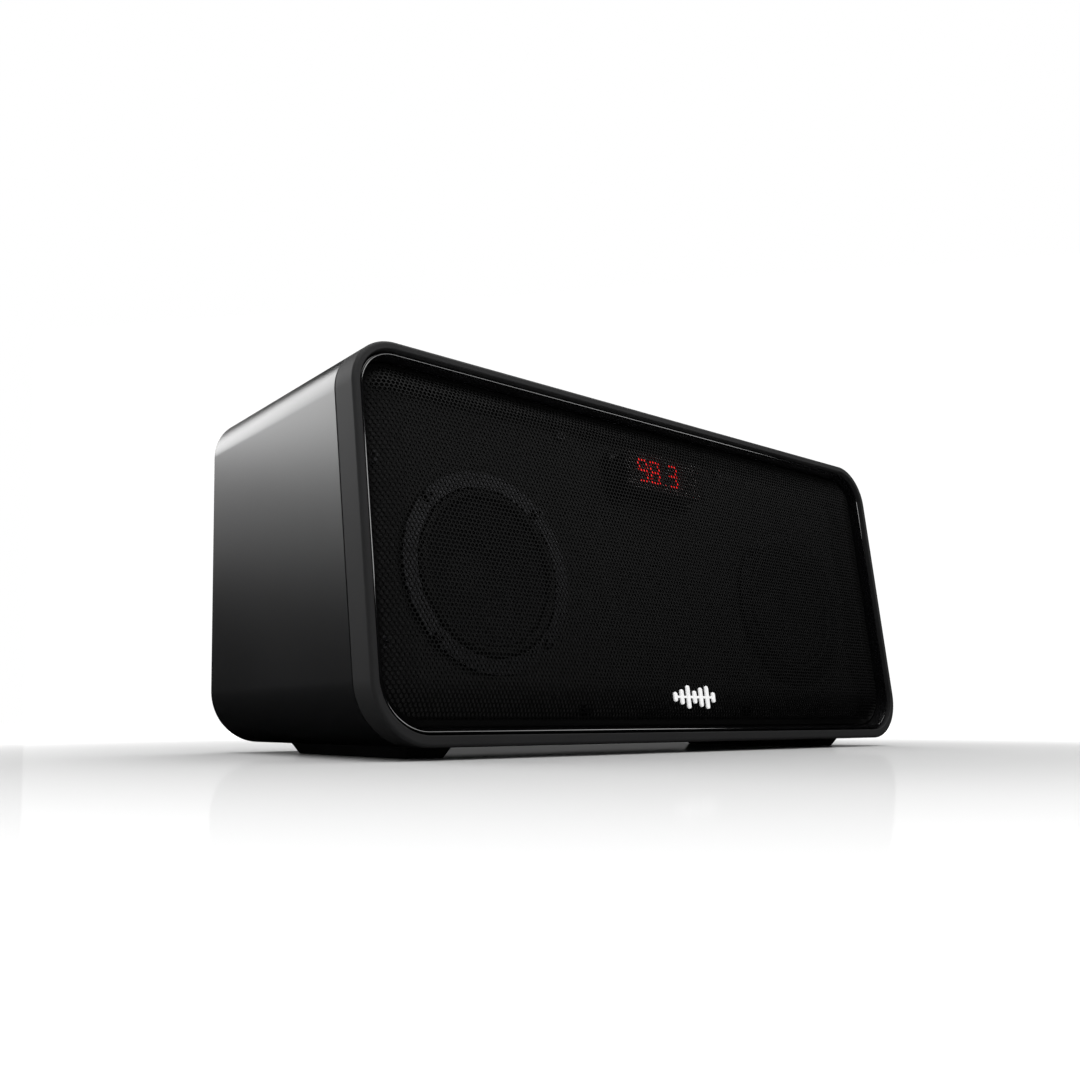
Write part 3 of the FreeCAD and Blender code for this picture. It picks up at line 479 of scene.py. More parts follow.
def polished_moulding():
    """Piano black: nearly a mirror, with the faint waves that a mould leaves."""
    material, start = new_material("trim_piano_black")
    place = start.node("ShaderNodeTexCoord", output="Object")
    wave = noise(place, 60.0, 1.0)
    bump = start.node("ShaderNodeBump", {}, {"Strength": 0.04, "Distance": 0.0002, "Height": wave})
    shader = start.node("ShaderNodeBsdfPrincipled", {}, {
        "Base Color": wave.mix((0.0025, 0.0025, 0.0028, 1), (0.0035, 0.0035, 0.0038, 1)),
        "Roughness": 0.06 + 0.05 * wave, "Coat Roughness": 0.03, "Coat Weight": 0.6 + 0.2 * wave,
        "Normal": bump})
    start.node("ShaderNodeOutputMaterial", sockets={"Surface": shader})
    return material


def front_sheet(name, inset, depth):
    """A rounded sheet parallel to the front face, left in edit mode with its one face selected."""
    leave_edit()
    tilt = math.pi / 2 - math.asin(OUT.z)
    bpy.ops.mesh.primitive_plane_add(size=1, location=front_place(0, depth, slope_height / 2),
                                     rotation=(tilt, 0, 0))
    piece = bpy.context.object
    piece.name = name
    piece.data.name = name
    piece.scale = (2 * (shell_high.x - inset), slope_height - 2 * inset, 1)
    bpy.ops.object.transform_apply(location=True, rotation=True, scale=True)
    bpy.ops.object.mode_set(mode="EDIT")
    for radius, above in ((TOP_RADIUS, True), (BOTTOM_RADIUS, False)):
        pick("VERT", lambda m, n: ((m - FRONT_FOOT).dot(UP) > slope_height / 2) == above)
        bpy.ops.mesh.bevel(offset=radius - inset, offset_type="OFFSET", segments=CORNER_STEPS,
                           affect="VERTICES")
    bpy.ops.mesh.select_mode(type="FACE")
    bpy.ops.mesh.select_all(action="SELECT")
    return piece


def bridge_open_loops():
    """Join the two open loops of a piece in edit mode and turn all its faces outwards."""
    pick("EDGE", lambda m, d: False)
    bpy.ops.mesh.select_non_manifold()
    bpy.ops.mesh.bridge_edge_loops()
    bpy.ops.mesh.select_all(action="SELECT")
    bpy.ops.mesh.normals_make_consistent(inside=False)


trim = front_sheet("trim_ring_polished", TRIM_OUTER, TRIM_BACK)
lift_selected_foot(SILL)
crown = (TRIM_LIP - TRIM_OUTER) / 2 / math.sin(CROWN_HALF_ANGLE)
push(TRIM_FRONT + crown * (1 - math.cos(CROWN_HALF_ANGLE)) - TRIM_BACK)
for step in range(CROWN_STEPS):
    angle = CROWN_HALF_ANGLE * (2 * step / CROWN_STEPS - 1)
    next_angle = angle + 2 * CROWN_HALF_ANGLE / CROWN_STEPS
    bpy.ops.mesh.inset(thickness=crown * (math.sin(next_angle) - math.sin(angle)),
                       depth=crown * (math.cos(next_angle) - math.cos(angle)))
bpy.ops.mesh.inset(thickness=TRIM_FOOT - TRIM_LIP, depth=TRIM_FRONT - TRIM_SLOPE_END)
lift_selected_foot(FOOT_SILL - SILL)
push(TRIM_BACK - TRIM_SLOPE_END)
bpy.ops.mesh.delete(type="FACE")
drop_faces(lambda m, n: on_plane(m, TRIM_BACK))
bridge_open_loops()
smooth(trim, 25)
paint(trim, polished_moulding())
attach(trim, "cabinet")
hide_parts("trim_ring")

# Grille: black powder-coated steel sheet, perforated all over with staggered round holes and pressed
# so that a wide margin curves back to the trim. One hole is modelled, repeated over a flat strip, and
# each of the strips is laid over the pressed form.
HOLE_PITCH = 0.00205
HOLE_RADIUS = 0.00086
HOLE_SIDES = 12
SHEET = 0.0007
GRILLE_EDGE = 0.0066
GRILLE_FRONT = 0.0010
GRILLE_CURVE = 0.0280
GRILLE_TURN = math.radians(40)
STRIPS = 4


def powder_coat():
    """Black powder coat on steel, with the fine orange peel of baked powder."""
    material, start = new_material("grille_powder_coat")
    place = start.node("ShaderNodeTexCoord", output="Object")
    peel = noise(place, 3200.0, 2.0)
    bump = start.node("ShaderNodeBump", {}, {"Strength": 0.2, "Distance": 0.00002, "Height": peel})
    shader = start.node("ShaderNodeBsdfPrincipled", {}, {
        "Base Color": peel.mix((0.0028, 0.0028, 0.0029, 1), (0.0042, 0.0042, 0.0043, 1)),
        "Roughness": 0.46 + 0.12 * peel, "Specular IOR Level": 0.12, "Normal": bump})
    start.node("ShaderNodeOutputMaterial", sockets={"Surface": shader})
    return material


def edge_distance(across, up):
    """How far inside the outline of the front a place lies, round its corners too."""
    foot = up - FOOT_SILL * (up < slope_height / 2)
    radius = np.where(up > slope_height / 2, TOP_RADIUS, BOTTOM_RADIUS)
    beside = np.abs(across) - shell_high.x + radius
    beyond = np.abs(foot - slope_height / 2) - slope_height / 2 + radius
    in_corner = (beside > 0) & (beyond > 0)
    return radius - np.where(in_corner, np.hypot(beside, beyond), np.maximum(beside, beyond))


def press(points):
    """Lay flat sheet points (across, up, outwards) over the pressed form of the grille."""
    across, up, out = points.T
    distance = edge_distance(across, up)
    reach = GRILLE_CURVE * math.sin(GRILLE_TURN)
    inside = np.clip(GRILLE_EDGE + reach - distance, 0, reach)
    depth = GRILLE_FRONT + GRILLE_CURVE - np.sqrt(GRILLE_CURVE ** 2 - inside ** 2) - out
    rows = np.outer(across, ACROSS) - np.outer(depth, OUT) + np.outer(up, UP) + np.array(FRONT_FOOT)
    return rows, distance


bpy.ops.object.select_all(action="DESELECT")
bpy.ops.mesh.primitive_circle_add(vertices=HOLE_SIDES, radius=HOLE_RADIUS, rotation=(0, 0, math.pi / 6))
strip = bpy.context.object
bpy.ops.object.transform_apply(location=True, rotation=True, scale=True)
bpy.ops.object.mode_set(mode="EDIT")
bpy.ops.mesh.select_all(action="SELECT")
bpy.ops.mesh.extrude_edges_move(TRANSFORM_OT_translate={"value": (0, 0, -SHEET)})
pick("VERT", lambda m, n: m.z > -SHEET / 2)
bpy.ops.mesh.extrude_edges_move(TRANSFORM_OT_translate={"value": (0, 0, 0)})
spread = HOLE_PITCH / 2 / HOLE_RADIUS
bpy.ops.transform.resize(value=(spread, spread, 1))
sixth = math.pi / 3
pick("VERT", lambda m, n: m.xy.length > HOLE_RADIUS * 1.1
     and abs(math.remainder(math.atan2(m.y, m.x) - sixth / 2, sixth)) < 0.1)
bpy.ops.transform.resize(value=(2 / math.sqrt(3), 2 / math.sqrt(3), 1), center_override=(0, 0, 0))
bpy.ops.mesh.select_all(action="SELECT")
bpy.ops.mesh.normals_make_consistent(inside=False)
bpy.ops.object.mode_set(mode="OBJECT")
cell_points = len(strip.data.vertices)

row_pitch = HOLE_PITCH * math.sqrt(3) / 2
columns = math.ceil(2 * (shell_high.x - GRILLE_EDGE) / HOLE_PITCH / STRIPS)
row_pairs = math.ceil((slope_height - 2 * GRILLE_EDGE) / row_pitch / 2)
for count, offset in ((2, (HOLE_PITCH / 2, row_pitch, 0)), (row_pairs, (0, 2 * row_pitch, 0)),
                      (columns, (HOLE_PITCH, 0, 0))):
    modify(strip, "ARRAY", count=count, use_relative_offset=False, use_constant_offset=True,
           constant_offset_displace=offset)
flat = np.empty(len(strip.data.vertices) * 3)
strip.data.vertices.foreach_get("co", flat)
flat = flat.reshape(-1, 3)
first = np.array((HOLE_PITCH / 4 - STRIPS * columns * HOLE_PITCH / 2,
                  slope_height / 2 - (row_pairs - 0.5) * row_pitch, 0))
coat = powder_coat()
for index in range(STRIPS):
    panel = strip.copy()
    panel.data = strip.data.copy()
    panel.name = panel.data.name = "grille_strip_%d" % (index + 1)
    bpy.context.scene.collection.objects.link(panel)
    pressed, distance = press(flat + first + np.array((index * columns * HOLE_PITCH, 0, 0)))
    beyond = (distance.reshape(-1, cell_points).min(axis=1) < GRILLE_EDGE).repeat(cell_points)
    panel.data.vertices.foreach_set("co", pressed.ravel())
    panel.data.polygons.foreach_set("select", np.zeros(len(panel.data.polygons), bool))
    panel.data.edges.foreach_set("select", np.zeros(len(panel.data.edges), bool))
    panel.data.vertices.foreach_set("select", beyond)
    bpy.ops.object.select_all(action="DESELECT")
    bpy.context.view_layer.objects.active = panel
    panel.select_set(True)
    bpy.ops.object.mode_set(mode="EDIT")
    bpy.ops.mesh.select_mode(type="VERT")
    bpy.ops.mesh.delete(type="VERT")
    bpy.ops.mesh.select_all(action="SELECT")
    bpy.ops.mesh.remove_doubles(threshold=1e-6)
    bpy.ops.object.mode_set(mode="OBJECT")
    bpy.ops.object.shade_smooth_by_angle(angle=math.radians(40))
    paint(panel, coat)
    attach(panel, "cabinet")
    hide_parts("grille")
bpy.data.objects.remove(strip)

# Hem of the grille: the plain rim of the same sheet, bent straight back beside the foot of the trim.
HEM_WIDTH = 0.0021
HEM_STEP = 0.0001
HEM_SHEET = 0.0005
hem_front = GRILLE_FRONT + GRILLE_CURVE * (1 - math.cos(GRILLE_TURN))
hem_turn = math.asin(math.sin(GRILLE_TURN) - HEM_WIDTH / GRILLE_CURVE)
hem_rise = GRILLE_CURVE * (math.cos(hem_turn) - math.cos(GRILLE_TURN)) - HEM_STEP
hem = front_sheet("grille_hem", GRILLE_EDGE, TRIM_BACK)
lift_selected_foot(FOOT_SILL)
push(hem_front - TRIM_BACK)
bpy.ops.mesh.inset(thickness=HEM_WIDTH, depth=hem_rise)
bpy.ops.mesh.delete(type="FACE")
drop_faces(lambda m, n: on_plane(m, TRIM_BACK) and abs(n.dot(OUT)) > 0.99)
modify(hem, "SOLIDIFY", thickness=HEM_SHEET, offset=-1)
smooth(hem, 40)
paint(hem, coat)
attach(hem, "cabinet")
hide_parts("grille")

# Badge: a plain white moulded mark of seven upright bars with round ends on one thin tie bar, pinned
# to the middle of the grille near its foot.
BADGE_V = 0.0220
BAR_HEIGHTS = (0.0046, 0.0074, 0.0114, 0.0064, 0.0096, 0.0114, 0.0052)
BAR_PITCH = 0.0047
BAR_WIDTH = 0.0025


def badge_plastic_painted_glow():
    """Bright white ABS with a soft gloss, and a faint painted glow: emission that brightens it beyond its
    lighting.
    """
    material, start = new_material("badge_white_plastic_painted_glow")
    place = start.node("ShaderNodeTexCoord", output="Object")
    cloud = noise(place, 300.0, 2.0)
    bump = start.node("ShaderNodeBump", {}, {"Strength": 0.05, "Distance": 0.00002, "Height": cloud})
    shader = start.node("ShaderNodeBsdfPrincipled", {}, {
        "Base Color": cloud.mix((0.82, 0.82, 0.83, 1), (0.88, 0.88, 0.88, 1)),
        "Roughness": 0.25 + 0.1 * cloud, "Normal": bump,
        # Painted light: a faint emission makes the white badge glow though it is no lamp.
        "Emission Color": cloud.mix((0.80, 0.80, 0.80, 1), (0.85, 0.85, 0.85, 1)),
        "Emission Strength": 0.25})
    start.node("ShaderNodeOutputMaterial", sockets={"Surface": shader})
    return material


def front_block(name, x, v, width, height, near, far):
    """A box parallel to the front face between two depths, left in edit mode."""
    return block(name, front_place(x, (near + far) / 2, v), (width, far - near, height),
                 (-math.asin(OUT.z), 0, 0))


def join(name, pieces):
    """Make one piece of several."""
    leave_edit()
    for piece in pieces:
        piece.select_set(True)
    bpy.context.view_layer.objects.active = pieces[0]
    if len(pieces) > 1:
        bpy.ops.object.join()
    pieces[0].name = pieces[0].data.name = name
    return pieces[0]


def copy_piece(piece, name, shift):
    """A copy of a finished piece, with its own mesh, moved by a shift."""
    twin = piece.copy()
    twin.data = piece.data.copy()
    twin.name = twin.data.name = name
    twin.data.transform(Matrix.Translation(shift))
    bpy.context.scene.collection.objects.link(twin)
    return twin


bars = [front_block("badge_tie", 0, BADGE_V, 0.0292, 0.0012, 0.00035, GRILLE_FRONT - 0.00005)]
pick("EDGE", lambda m, d: True)
bpy.ops.mesh.bevel(offset=0.00025, segments=2, affect="EDGES")
for index, height in enumerate(BAR_HEIGHTS):
    x = (index - 3) * BAR_PITCH
    bars.append(front_block("badge_bar", x, BADGE_V, BAR_WIDTH, height, 0.0001, GRILLE_FRONT - 0.00005))
    pick("EDGE", lambda m, d: abs(d.dot(OUT)) > 0.99)
    bpy.ops.mesh.bevel(offset=0.0012, offset_type="OFFSET", segments=6, affect="EDGES")
    pick("FACE", lambda m, n: n.dot(OUT) > 0.99)
    bpy.ops.mesh.region_to_loop()
    bpy.ops.mesh.bevel(offset=0.0003, offset_type="OFFSET", segments=3, affect="EDGES")
badge = join("badge_mark", bars)
smooth(badge, 35)
paint(badge, badge_plastic_painted_glow())
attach(badge, "cabinet")
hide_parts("badge")

# Display: three lit LED characters behind the grille, with a point after the second.
# Each lit bar is a cast window with slanted ends, hottest along its middle.
DISPLAY_V = 0.1372
DIGIT_X = (-0.0155, -0.0067, 0.0067)
DIGIT_WIDTH, DIGIT_HEIGHT = 0.0070, 0.0127
BAR_THICK = 0.00120
BAR_NEAR, BAR_FAR = 0.00305, 0.00335
CORE = 0.0003
BAR_GAP = 0.0003
half_w, half_h = DIGIT_WIDTH / 2 - BAR_THICK / 2, DIGIT_HEIGHT / 2 - BAR_THICK / 2
BARS = {
    "a": (0, half_h, "flat"), "d": (0, -half_h, "flat"), "g": (0, 0, "flat"),
    "b": (half_w, half_h / 2, "upright"), "c": (half_w, -half_h / 2, "upright"),
    "e": (-half_w, -half_h / 2, "upright"), "f": (-half_w, half_h / 2, "upright"),
}
LIT = ("abcdfg", "abcdefg", "abcdg")


def led_red():
    """Red LED light: nearly white in the hot core, deep red at the rim of each bar."""
    material, start = new_material("display_led_red")
    heat = start.node("ShaderNodeAttribute", {"attribute_name": "heat"}, output="Fac")
    shader = start.node("ShaderNodeBsdfPrincipled", {}, {
        "Base Color": (0.25, 0.01, 0.01, 1), "Roughness": 0.3,
        "Emission Color": heat.mix((0.60, 0.012, 0.012, 1), (1.0, 0.62, 0.52, 1)),
        "Emission Strength": 2.6})
    start.node("ShaderNodeOutputMaterial", sockets={"Surface": shader})
    return material


def led_bar(length, upright):
    """One lit bar with pointed ends and a hot core, in the middle of the display."""
    width, height = (BAR_THICK, length) if upright else (length, BAR_THICK)
    bar = front_block("led_bar", 0, DISPLAY_V, width, height, BAR_NEAR, BAR_FAR)
    pick("EDGE", lambda m, d: abs(d.dot(OUT)) > 0.99)
    bpy.ops.mesh.bevel(offset=BAR_THICK * 0.45, offset_type="OFFSET", segments=1, affect="EDGES")
    pick("FACE", lambda m, n: n.dot(OUT) > 0.99)
    bpy.ops.mesh.inset(thickness=CORE)
    bpy.ops.object.mode_set(mode="OBJECT")
    core = max(bar.data.polygons, key=lambda f: f.select * f.area)
    heat = bar.data.attributes.new("heat", "FLOAT", "POINT")
    for vertex in core.vertices:
        heat.data[vertex].value = 1.0
    return bar


first_bars = {"flat": led_bar(2 * half_w - BAR_GAP, False), "upright": led_bar(half_h - BAR_GAP, True)}
lit_bars = []
for x, letters in zip(DIGIT_X, LIT):
    for letter in letters:
        dx, dv, way = BARS[letter]
        lit_bars.append(copy_piece(first_bars[way], "led_bar_lit", ACROSS * (x + dx) + UP * dv))
point = led_bar(BAR_THICK, True)
point.data.transform(Matrix.Translation(UP * -half_h))
lit_bars.append(point)
for bar in first_bars.values():
    bpy.data.objects.remove(bar)
digits = join("display_digits", lit_bars)
paint(digits, led_red())
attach(digits, "cabinet")
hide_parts("display_segments")

# Feet: two moulded rubber rails whose sides draw in towards the floor, each with two screw wells.
FOOT_DRAW = 0.0030
WELL_RADIUS, WELL_DEPTH = 0.0036, 0.0026
SCREW_RADIUS = 0.0029


def rubber():
    """Matt black rubber with a fine pebbled mould texture and a little bloom."""
    material, start = new_material("foot_rubber")
    place = start.node("ShaderNodeTexCoord", output="Object")
    pebble = start.node("ShaderNodeTexVoronoi", {}, {"Vector": place, "Scale": 1500.0}, output="Distance")
    bloom = noise(place, 60.0, 3.0)
    bump = start.node("ShaderNodeBump", {}, {"Strength": 0.3, "Distance": 0.00005, "Height": pebble})
    shader = start.node("ShaderNodeBsdfPrincipled", {}, {
        "Base Color": bloom.mix((0.006, 0.006, 0.006, 1), (0.014, 0.014, 0.014, 1)),
        "Roughness": 0.62 + 0.2 * bloom, "Normal": bump})
    start.node("ShaderNodeOutputMaterial", sockets={"Surface": shader})
    return material


foot_rubber = rubber()
screw_low, screw_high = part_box("foot_screws")
low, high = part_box("foot_left")
left_foot = block("foot_rail_left", (low + high) / 2, high - low)
pick("EDGE", lambda m, d: abs(d.z) > 0.99)
bpy.ops.mesh.bevel(offset=0.004, offset_type="OFFSET", segments=6, affect="EDGES")
pick("FACE", lambda m, n: n.z < -0.99)
size = high - low
bpy.ops.transform.resize(value=(1 - 2 * FOOT_DRAW / size.x, 1 - 2 * FOOT_DRAW / size.y, 1))
bpy.ops.mesh.region_to_loop()
bpy.ops.mesh.bevel(offset=0.0007, offset_type="OFFSET", segments=3, affect="EDGES")
bpy.ops.object.mode_set(mode="OBJECT")
for y in (screw_low.y + SCREW_RADIUS, screw_high.y - SCREW_RADIUS):
    bpy.ops.object.select_all(action="DESELECT")
    bpy.ops.mesh.primitive_cylinder_add(vertices=32, radius=WELL_RADIUS, depth=2 * WELL_DEPTH,
                                        location=((low.x + high.x) / 2, y, 0))
    well = bpy.context.object
    modify(left_foot, "BOOLEAN", operation="DIFFERENCE", solver="EXACT", object=well)
    bpy.data.objects.remove(well)
smooth(left_foot, 35)
right_foot = copy_piece(left_foot, "foot_rail_right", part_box("foot_right")[0] - low)
for side, foot in (("left", left_foot), ("right", right_foot)):
    paint(foot, foot_rubber)
    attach(foot, "cabinet")
    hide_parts("foot_" + side)

# Control strip: a satin panel let into the top, with seven soft-touch keys. Each key has a dished cap
# that stands half a millimetre above the cabinet and carries one raised, pale symbol.
KEY_BODIES = ("power", "source", "previous", "select", "next", "volume_down", "volume_up")
KEY_LENGTH, KEY_WIDTH = 0.0170, 0.0100
KEY_CORNER = 0.0030
KEY_DISH = 0.00035
KEY_STEM = 0.0040
MARK_RISE = 0.00012
MARK_LINE = 0.0007


def soft_touch():
    """Soft-touch black: very matt, with a faint polish where a finger rests on each cap."""
    material, start = new_material("key_soft_touch")
    place = start.node("ShaderNodeTexCoord", output="Object")
    grain = noise(place, 3500.0, 1.0)
    touch = noise(place, 180.0, 2.0)
    bump = start.node("ShaderNodeBump", {}, {"Strength": 0.1, "Distance": 0.00002, "Height": grain})
    shader = start.node("ShaderNodeBsdfPrincipled", {}, {
        "Base Color": touch.mix((0.012, 0.012, 0.013, 1), (0.018, 0.018, 0.019, 1)),
        "Roughness": 0.5 + 0.15 * touch, "Normal": bump})
    start.node("ShaderNodeOutputMaterial", sockets={"Surface": shader})
    return material


def mark_ink():
    """Pale grey ink with slightly uneven cover."""
    material, start = new_material("key_mark_ink")
    place = start.node("ShaderNodeTexCoord", output="Object")
    cover = noise(place, 900.0, 2.0)
    shader = start.node("ShaderNodeBsdfPrincipled", {}, {
        "Base Color": cover.mix((0.48, 0.48, 0.49, 1), (0.62, 0.62, 0.62, 1)),
        "Roughness": 0.45 + 0.1 * cover})
    start.node("ShaderNodeOutputMaterial", sockets={"Surface": shader})
    return material


def key_cap():
    """A cap with rounded corners and edge and a shallow dish in its top, with its top at zero."""
    cap = block("key_cap", (0, 0, -KEY_STEM / 2), (KEY_LENGTH, KEY_WIDTH, KEY_STEM))
    pick("EDGE", lambda m, d: abs(d.z) > 0.99)
    bpy.ops.mesh.bevel(offset=KEY_CORNER, offset_type="OFFSET", segments=8, affect="EDGES")
    pick("FACE", lambda m, n: n.z > 0.99)
    bpy.ops.mesh.region_to_loop()
    bpy.ops.mesh.bevel(offset=0.0006, offset_type="OFFSET", segments=4, affect="EDGES")
    pick("FACE", lambda m, n: n.z > 0.999 and m.z > -1e-5)
    for thickness, depth in ((0.0003, 0.0), (0.0006, -0.35 * KEY_DISH), (0.0009, -0.45 * KEY_DISH),
                             (0.0012, -0.2 * KEY_DISH)):
        bpy.ops.mesh.inset(thickness=thickness, depth=depth)
    smooth(cap, 40)
    return cap


def bar_mark(x, y, z, length, width, turn=0.0):
    """A flat stroke of a symbol with softened ends."""
    mark = block("mark", (x, y, z), (length, width, 2 * MARK_RISE), (0, 0, turn))
    pick("EDGE", lambda m, d: abs(d.z) > 0.99)
    bpy.ops.mesh.bevel(offset=width * 0.3, segments=3, affect="EDGES")
    bpy.ops.object.mode_set(mode="OBJECT")
    return mark


def arrow_mark(x, y, z, way):
    """A flat triangle that points along X."""
    bpy.ops.object.select_all(action="DESELECT")
    bpy.ops.mesh.primitive_cylinder_add(vertices=3, radius=0.0016, depth=2 * MARK_RISE, location=(x, y, z),
                                        rotation=(0, 0, -way * math.pi / 2))
    mark = bpy.context.object
    bpy.ops.object.transform_apply(location=True, rotation=True, scale=True)
    bpy.ops.object.mode_set(mode="EDIT")
    pick("EDGE", lambda m, d: abs(d.z) > 0.99)
    bpy.ops.mesh.bevel(offset=0.0002, segments=3, affect="EDGES")
    bpy.ops.object.mode_set(mode="OBJECT")
    return mark


def ring_mark(x, y, z, radius, opening):
    """A flat ring, open at the top by an angle."""
    bpy.ops.object.select_all(action="DESELECT")
    bpy.ops.mesh.primitive_cylinder_add(vertices=48, radius=radius, depth=2 * MARK_RISE, location=(x, y, z))
    mark = bpy.context.object
    bpy.ops.object.transform_apply(location=True, rotation=True, scale=True)
    bpy.ops.object.mode_set(mode="EDIT")
    pick("FACE", lambda m, n: abs(n.z) > 0.99)
    bpy.ops.mesh.inset(thickness=MARK_LINE)
    bpy.ops.mesh.delete(type="FACE")
    bpy.ops.mesh.select_mode(type="EDGE")
    bpy.ops.mesh.select_non_manifold()
    bpy.ops.mesh.bridge_edge_loops()
    if opening:
        drop_faces(lambda m, n: abs(math.atan2(m.x - x, m.y - y)) < opening)
        pick("EDGE", lambda m, d: False)
        bpy.ops.mesh.select_non_manifold()
        bpy.ops.mesh.edge_face_add()
    bpy.ops.mesh.select_all(action="SELECT")
    bpy.ops.mesh.normals_make_consistent(inside=False)
    bpy.ops.object.mode_set(mode="OBJECT")
    return mark


def symbol(name, x, y, z):
    """The strokes of one key's symbol."""
    if name == "power":
        return [ring_mark(x, y, z, 0.0019, 0.5), bar_mark(x, y + 0.0014, z, MARK_LINE, 0.0018)]
    if name == "source":
        return [bar_mark(x, y + dy, z, 0.0040, MARK_LINE) for dy in (-0.0013, 0.0, 0.0013)]
    if name == "previous":
        return [arrow_mark(x + 0.0004, y, z, -1), bar_mark(x - 0.0018, y, z, MARK_LINE, 0.0030)]
    if name == "next":
        return [arrow_mark(x - 0.0004, y, z, 1), bar_mark(x + 0.0018, y, z, MARK_LINE, 0.0030)]
    if name == "select":
        return [ring_mark(x, y, z, 0.0019, 0.0)]
    strokes = [bar_mark(x, y, z, 0.0036, MARK_LINE)]
    if name == "volume_up":
        strokes.append(bar_mark(x, y, z, MARK_LINE, 0.0036))
    return strokes


touch_finish, ink = soft_touch(), mark_ink()
first_cap = key_cap()
for name in KEY_BODIES:
    low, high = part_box("button_" + name)
    middle = (low + high) / 2
    cap = copy_piece(first_cap, "key_cap_" + name, Vector((middle.x, middle.y, high.z)))
    paint(cap, touch_finish)
    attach(cap, "key_" + name)
    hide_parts("button_" + name)
    mark = join("key_mark_" + name, symbol(name, middle.x, middle.y, high.z - KEY_DISH))
    paint(mark, ink)
    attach(mark, "key_" + name)
bpy.data.objects.remove(first_cap)
panel = frame["nodes"]["control_panel"]
panel.material_slots[0].material = satin_moulding()

# Back: a textured black panel with raised ribs, held by eight screws. Through it come the flared bass
# port, two audio sockets with nickel throats, the mains inlet with two pins, and the rocker switch.
JACK_PLACES = ((-0.022, 0.0246), (0.002, 0.0246))
PIN_PLACES = ((0.1037, 0.040), (0.1123, 0.040))
JACK_THROAT, PIN_RADIUS = 0.0027, 0.00135


def near_axis(start, axes, radius):
    """1 within a radius of any of some axes along Y, else 0."""
    place = start.node("ShaderNodeTexCoord", output="Object")
    split = [start.node("ShaderNodeSeparateXYZ", {}, {"Vector": place}, output=name) for name in ("X", "Z")]
    total = None
    for x, z in axes:
        dx, dz = split[0] - x, split[1] - z
        reach = start.maths("SQRT", dx * dx + dz * dz)
        inside = 1 - reach.step(radius - 0.0001, radius + 0.0001)
        total = inside if total is None else total + inside
    return total


def textured_moulding(name, scale, depth, dark, light, gloss):
    """Black plastic from an etched mould; scale is grains per metre."""
    material, start = new_material(name)
    place = start.node("ShaderNodeTexCoord", output="Object")
    grain = noise(place, scale, 3.0)
    drift = noise(place, 25.0, 2.0)
    bump = start.node("ShaderNodeBump", {}, {"Strength": 0.35, "Distance": depth, "Height": grain})
    shader = start.node("ShaderNodeBsdfPrincipled", {}, {
        "Base Color": drift.mix((dark, dark, dark * 1.03, 1), (light, light, light * 1.03, 1)),
        "Roughness": gloss + 0.12 * grain, "Normal": bump})
    start.node("ShaderNodeOutputMaterial", sockets={"Surface": shader})
    return material


def metal_throats(name, axes, radius, metal):
    """Black plastic whose middle parts, near the given axes, are plated metal."""
    material, start = new_material(name)
    place = start.node("ShaderNodeTexCoord", output="Object")
    grain = noise(place, 2400.0, 2.0)
    plated = near_axis(start, axes, radius)
    bump = start.node("ShaderNodeBump", {}, {"Strength": 0.1, "Distance": 0.00002, "Height": grain})
    plastic = grain.mix((0.010, 0.010, 0.011, 1), (0.016, 0.016, 0.017, 1))
    shader = start.node("ShaderNodeBsdfPrincipled", {}, {
        "Base Color": plated.mix(plastic, metal), "Metallic": plated,
        "Roughness": 0.42 + 0.1 * grain - 0.24 * plated, "Normal": bump})
    start.node("ShaderNodeOutputMaterial", sockets={"Surface": shader})
    return material


def repaint(material, *names):
    """Give carried-over CAD pieces a finish."""
    for name in names:
        for place in frame["nodes"][name].material_slots:
            place.material = material


def plated_steel(name, colour, gloss):
    """Plated metal with fine scratches and a little tarnish."""
    material, start = new_material(name)
    place = start.node("ShaderNodeTexCoord", output="Object")
    drift = noise(place, 120.0, 3.0)
    lines = noise(place, 3800.0, 1.0)
    bump = start.node("ShaderNodeBump", {}, {"Strength": 0.08, "Distance": 0.00001, "Height": lines})
    dull = tuple(0.8 * part for part in colour) + (1,)
    shader = start.node("ShaderNodeBsdfPrincipled", {}, {
        "Base Color": drift.mix(dull, colour + (1,)), "Metallic": 1.0,
        "Roughness": gloss + 0.12 * drift, "Normal": bump})
    start.node("ShaderNodeOutputMaterial", sockets={"Surface": shader})
    return material


repaint(textured_moulding("rear_panel_etched", 1700.0, 0.00008, 0.012, 0.018, 0.42), "rear_panel")
repaint(textured_moulding("port_tube_moulding", 2500.0, 0.00003, 0.008, 0.012, 0.34), "port_tube")
repaint(textured_moulding("switch_moulding", 3000.0, 0.00002, 0.012, 0.016, 0.30), "switch_housing")
repaint(metal_throats("audio_jack_black", JACK_PLACES, JACK_THROAT, (0.74, 0.72, 0.67, 1)), "audio_jacks")
repaint(metal_throats("mains_inlet_black", PIN_PLACES, PIN_RADIUS, (0.78, 0.76, 0.72, 1)), "power_inlet")
repaint(polished_moulding(), "switch_rocker")
repaint(plated_steel("black_screw_steel", (0.055, 0.055, 0.058), 0.30),
        "rear_screws", "foot_screws", "baffle_screws", "driver_screws",
        "driver_frame_left", "driver_frame_right")

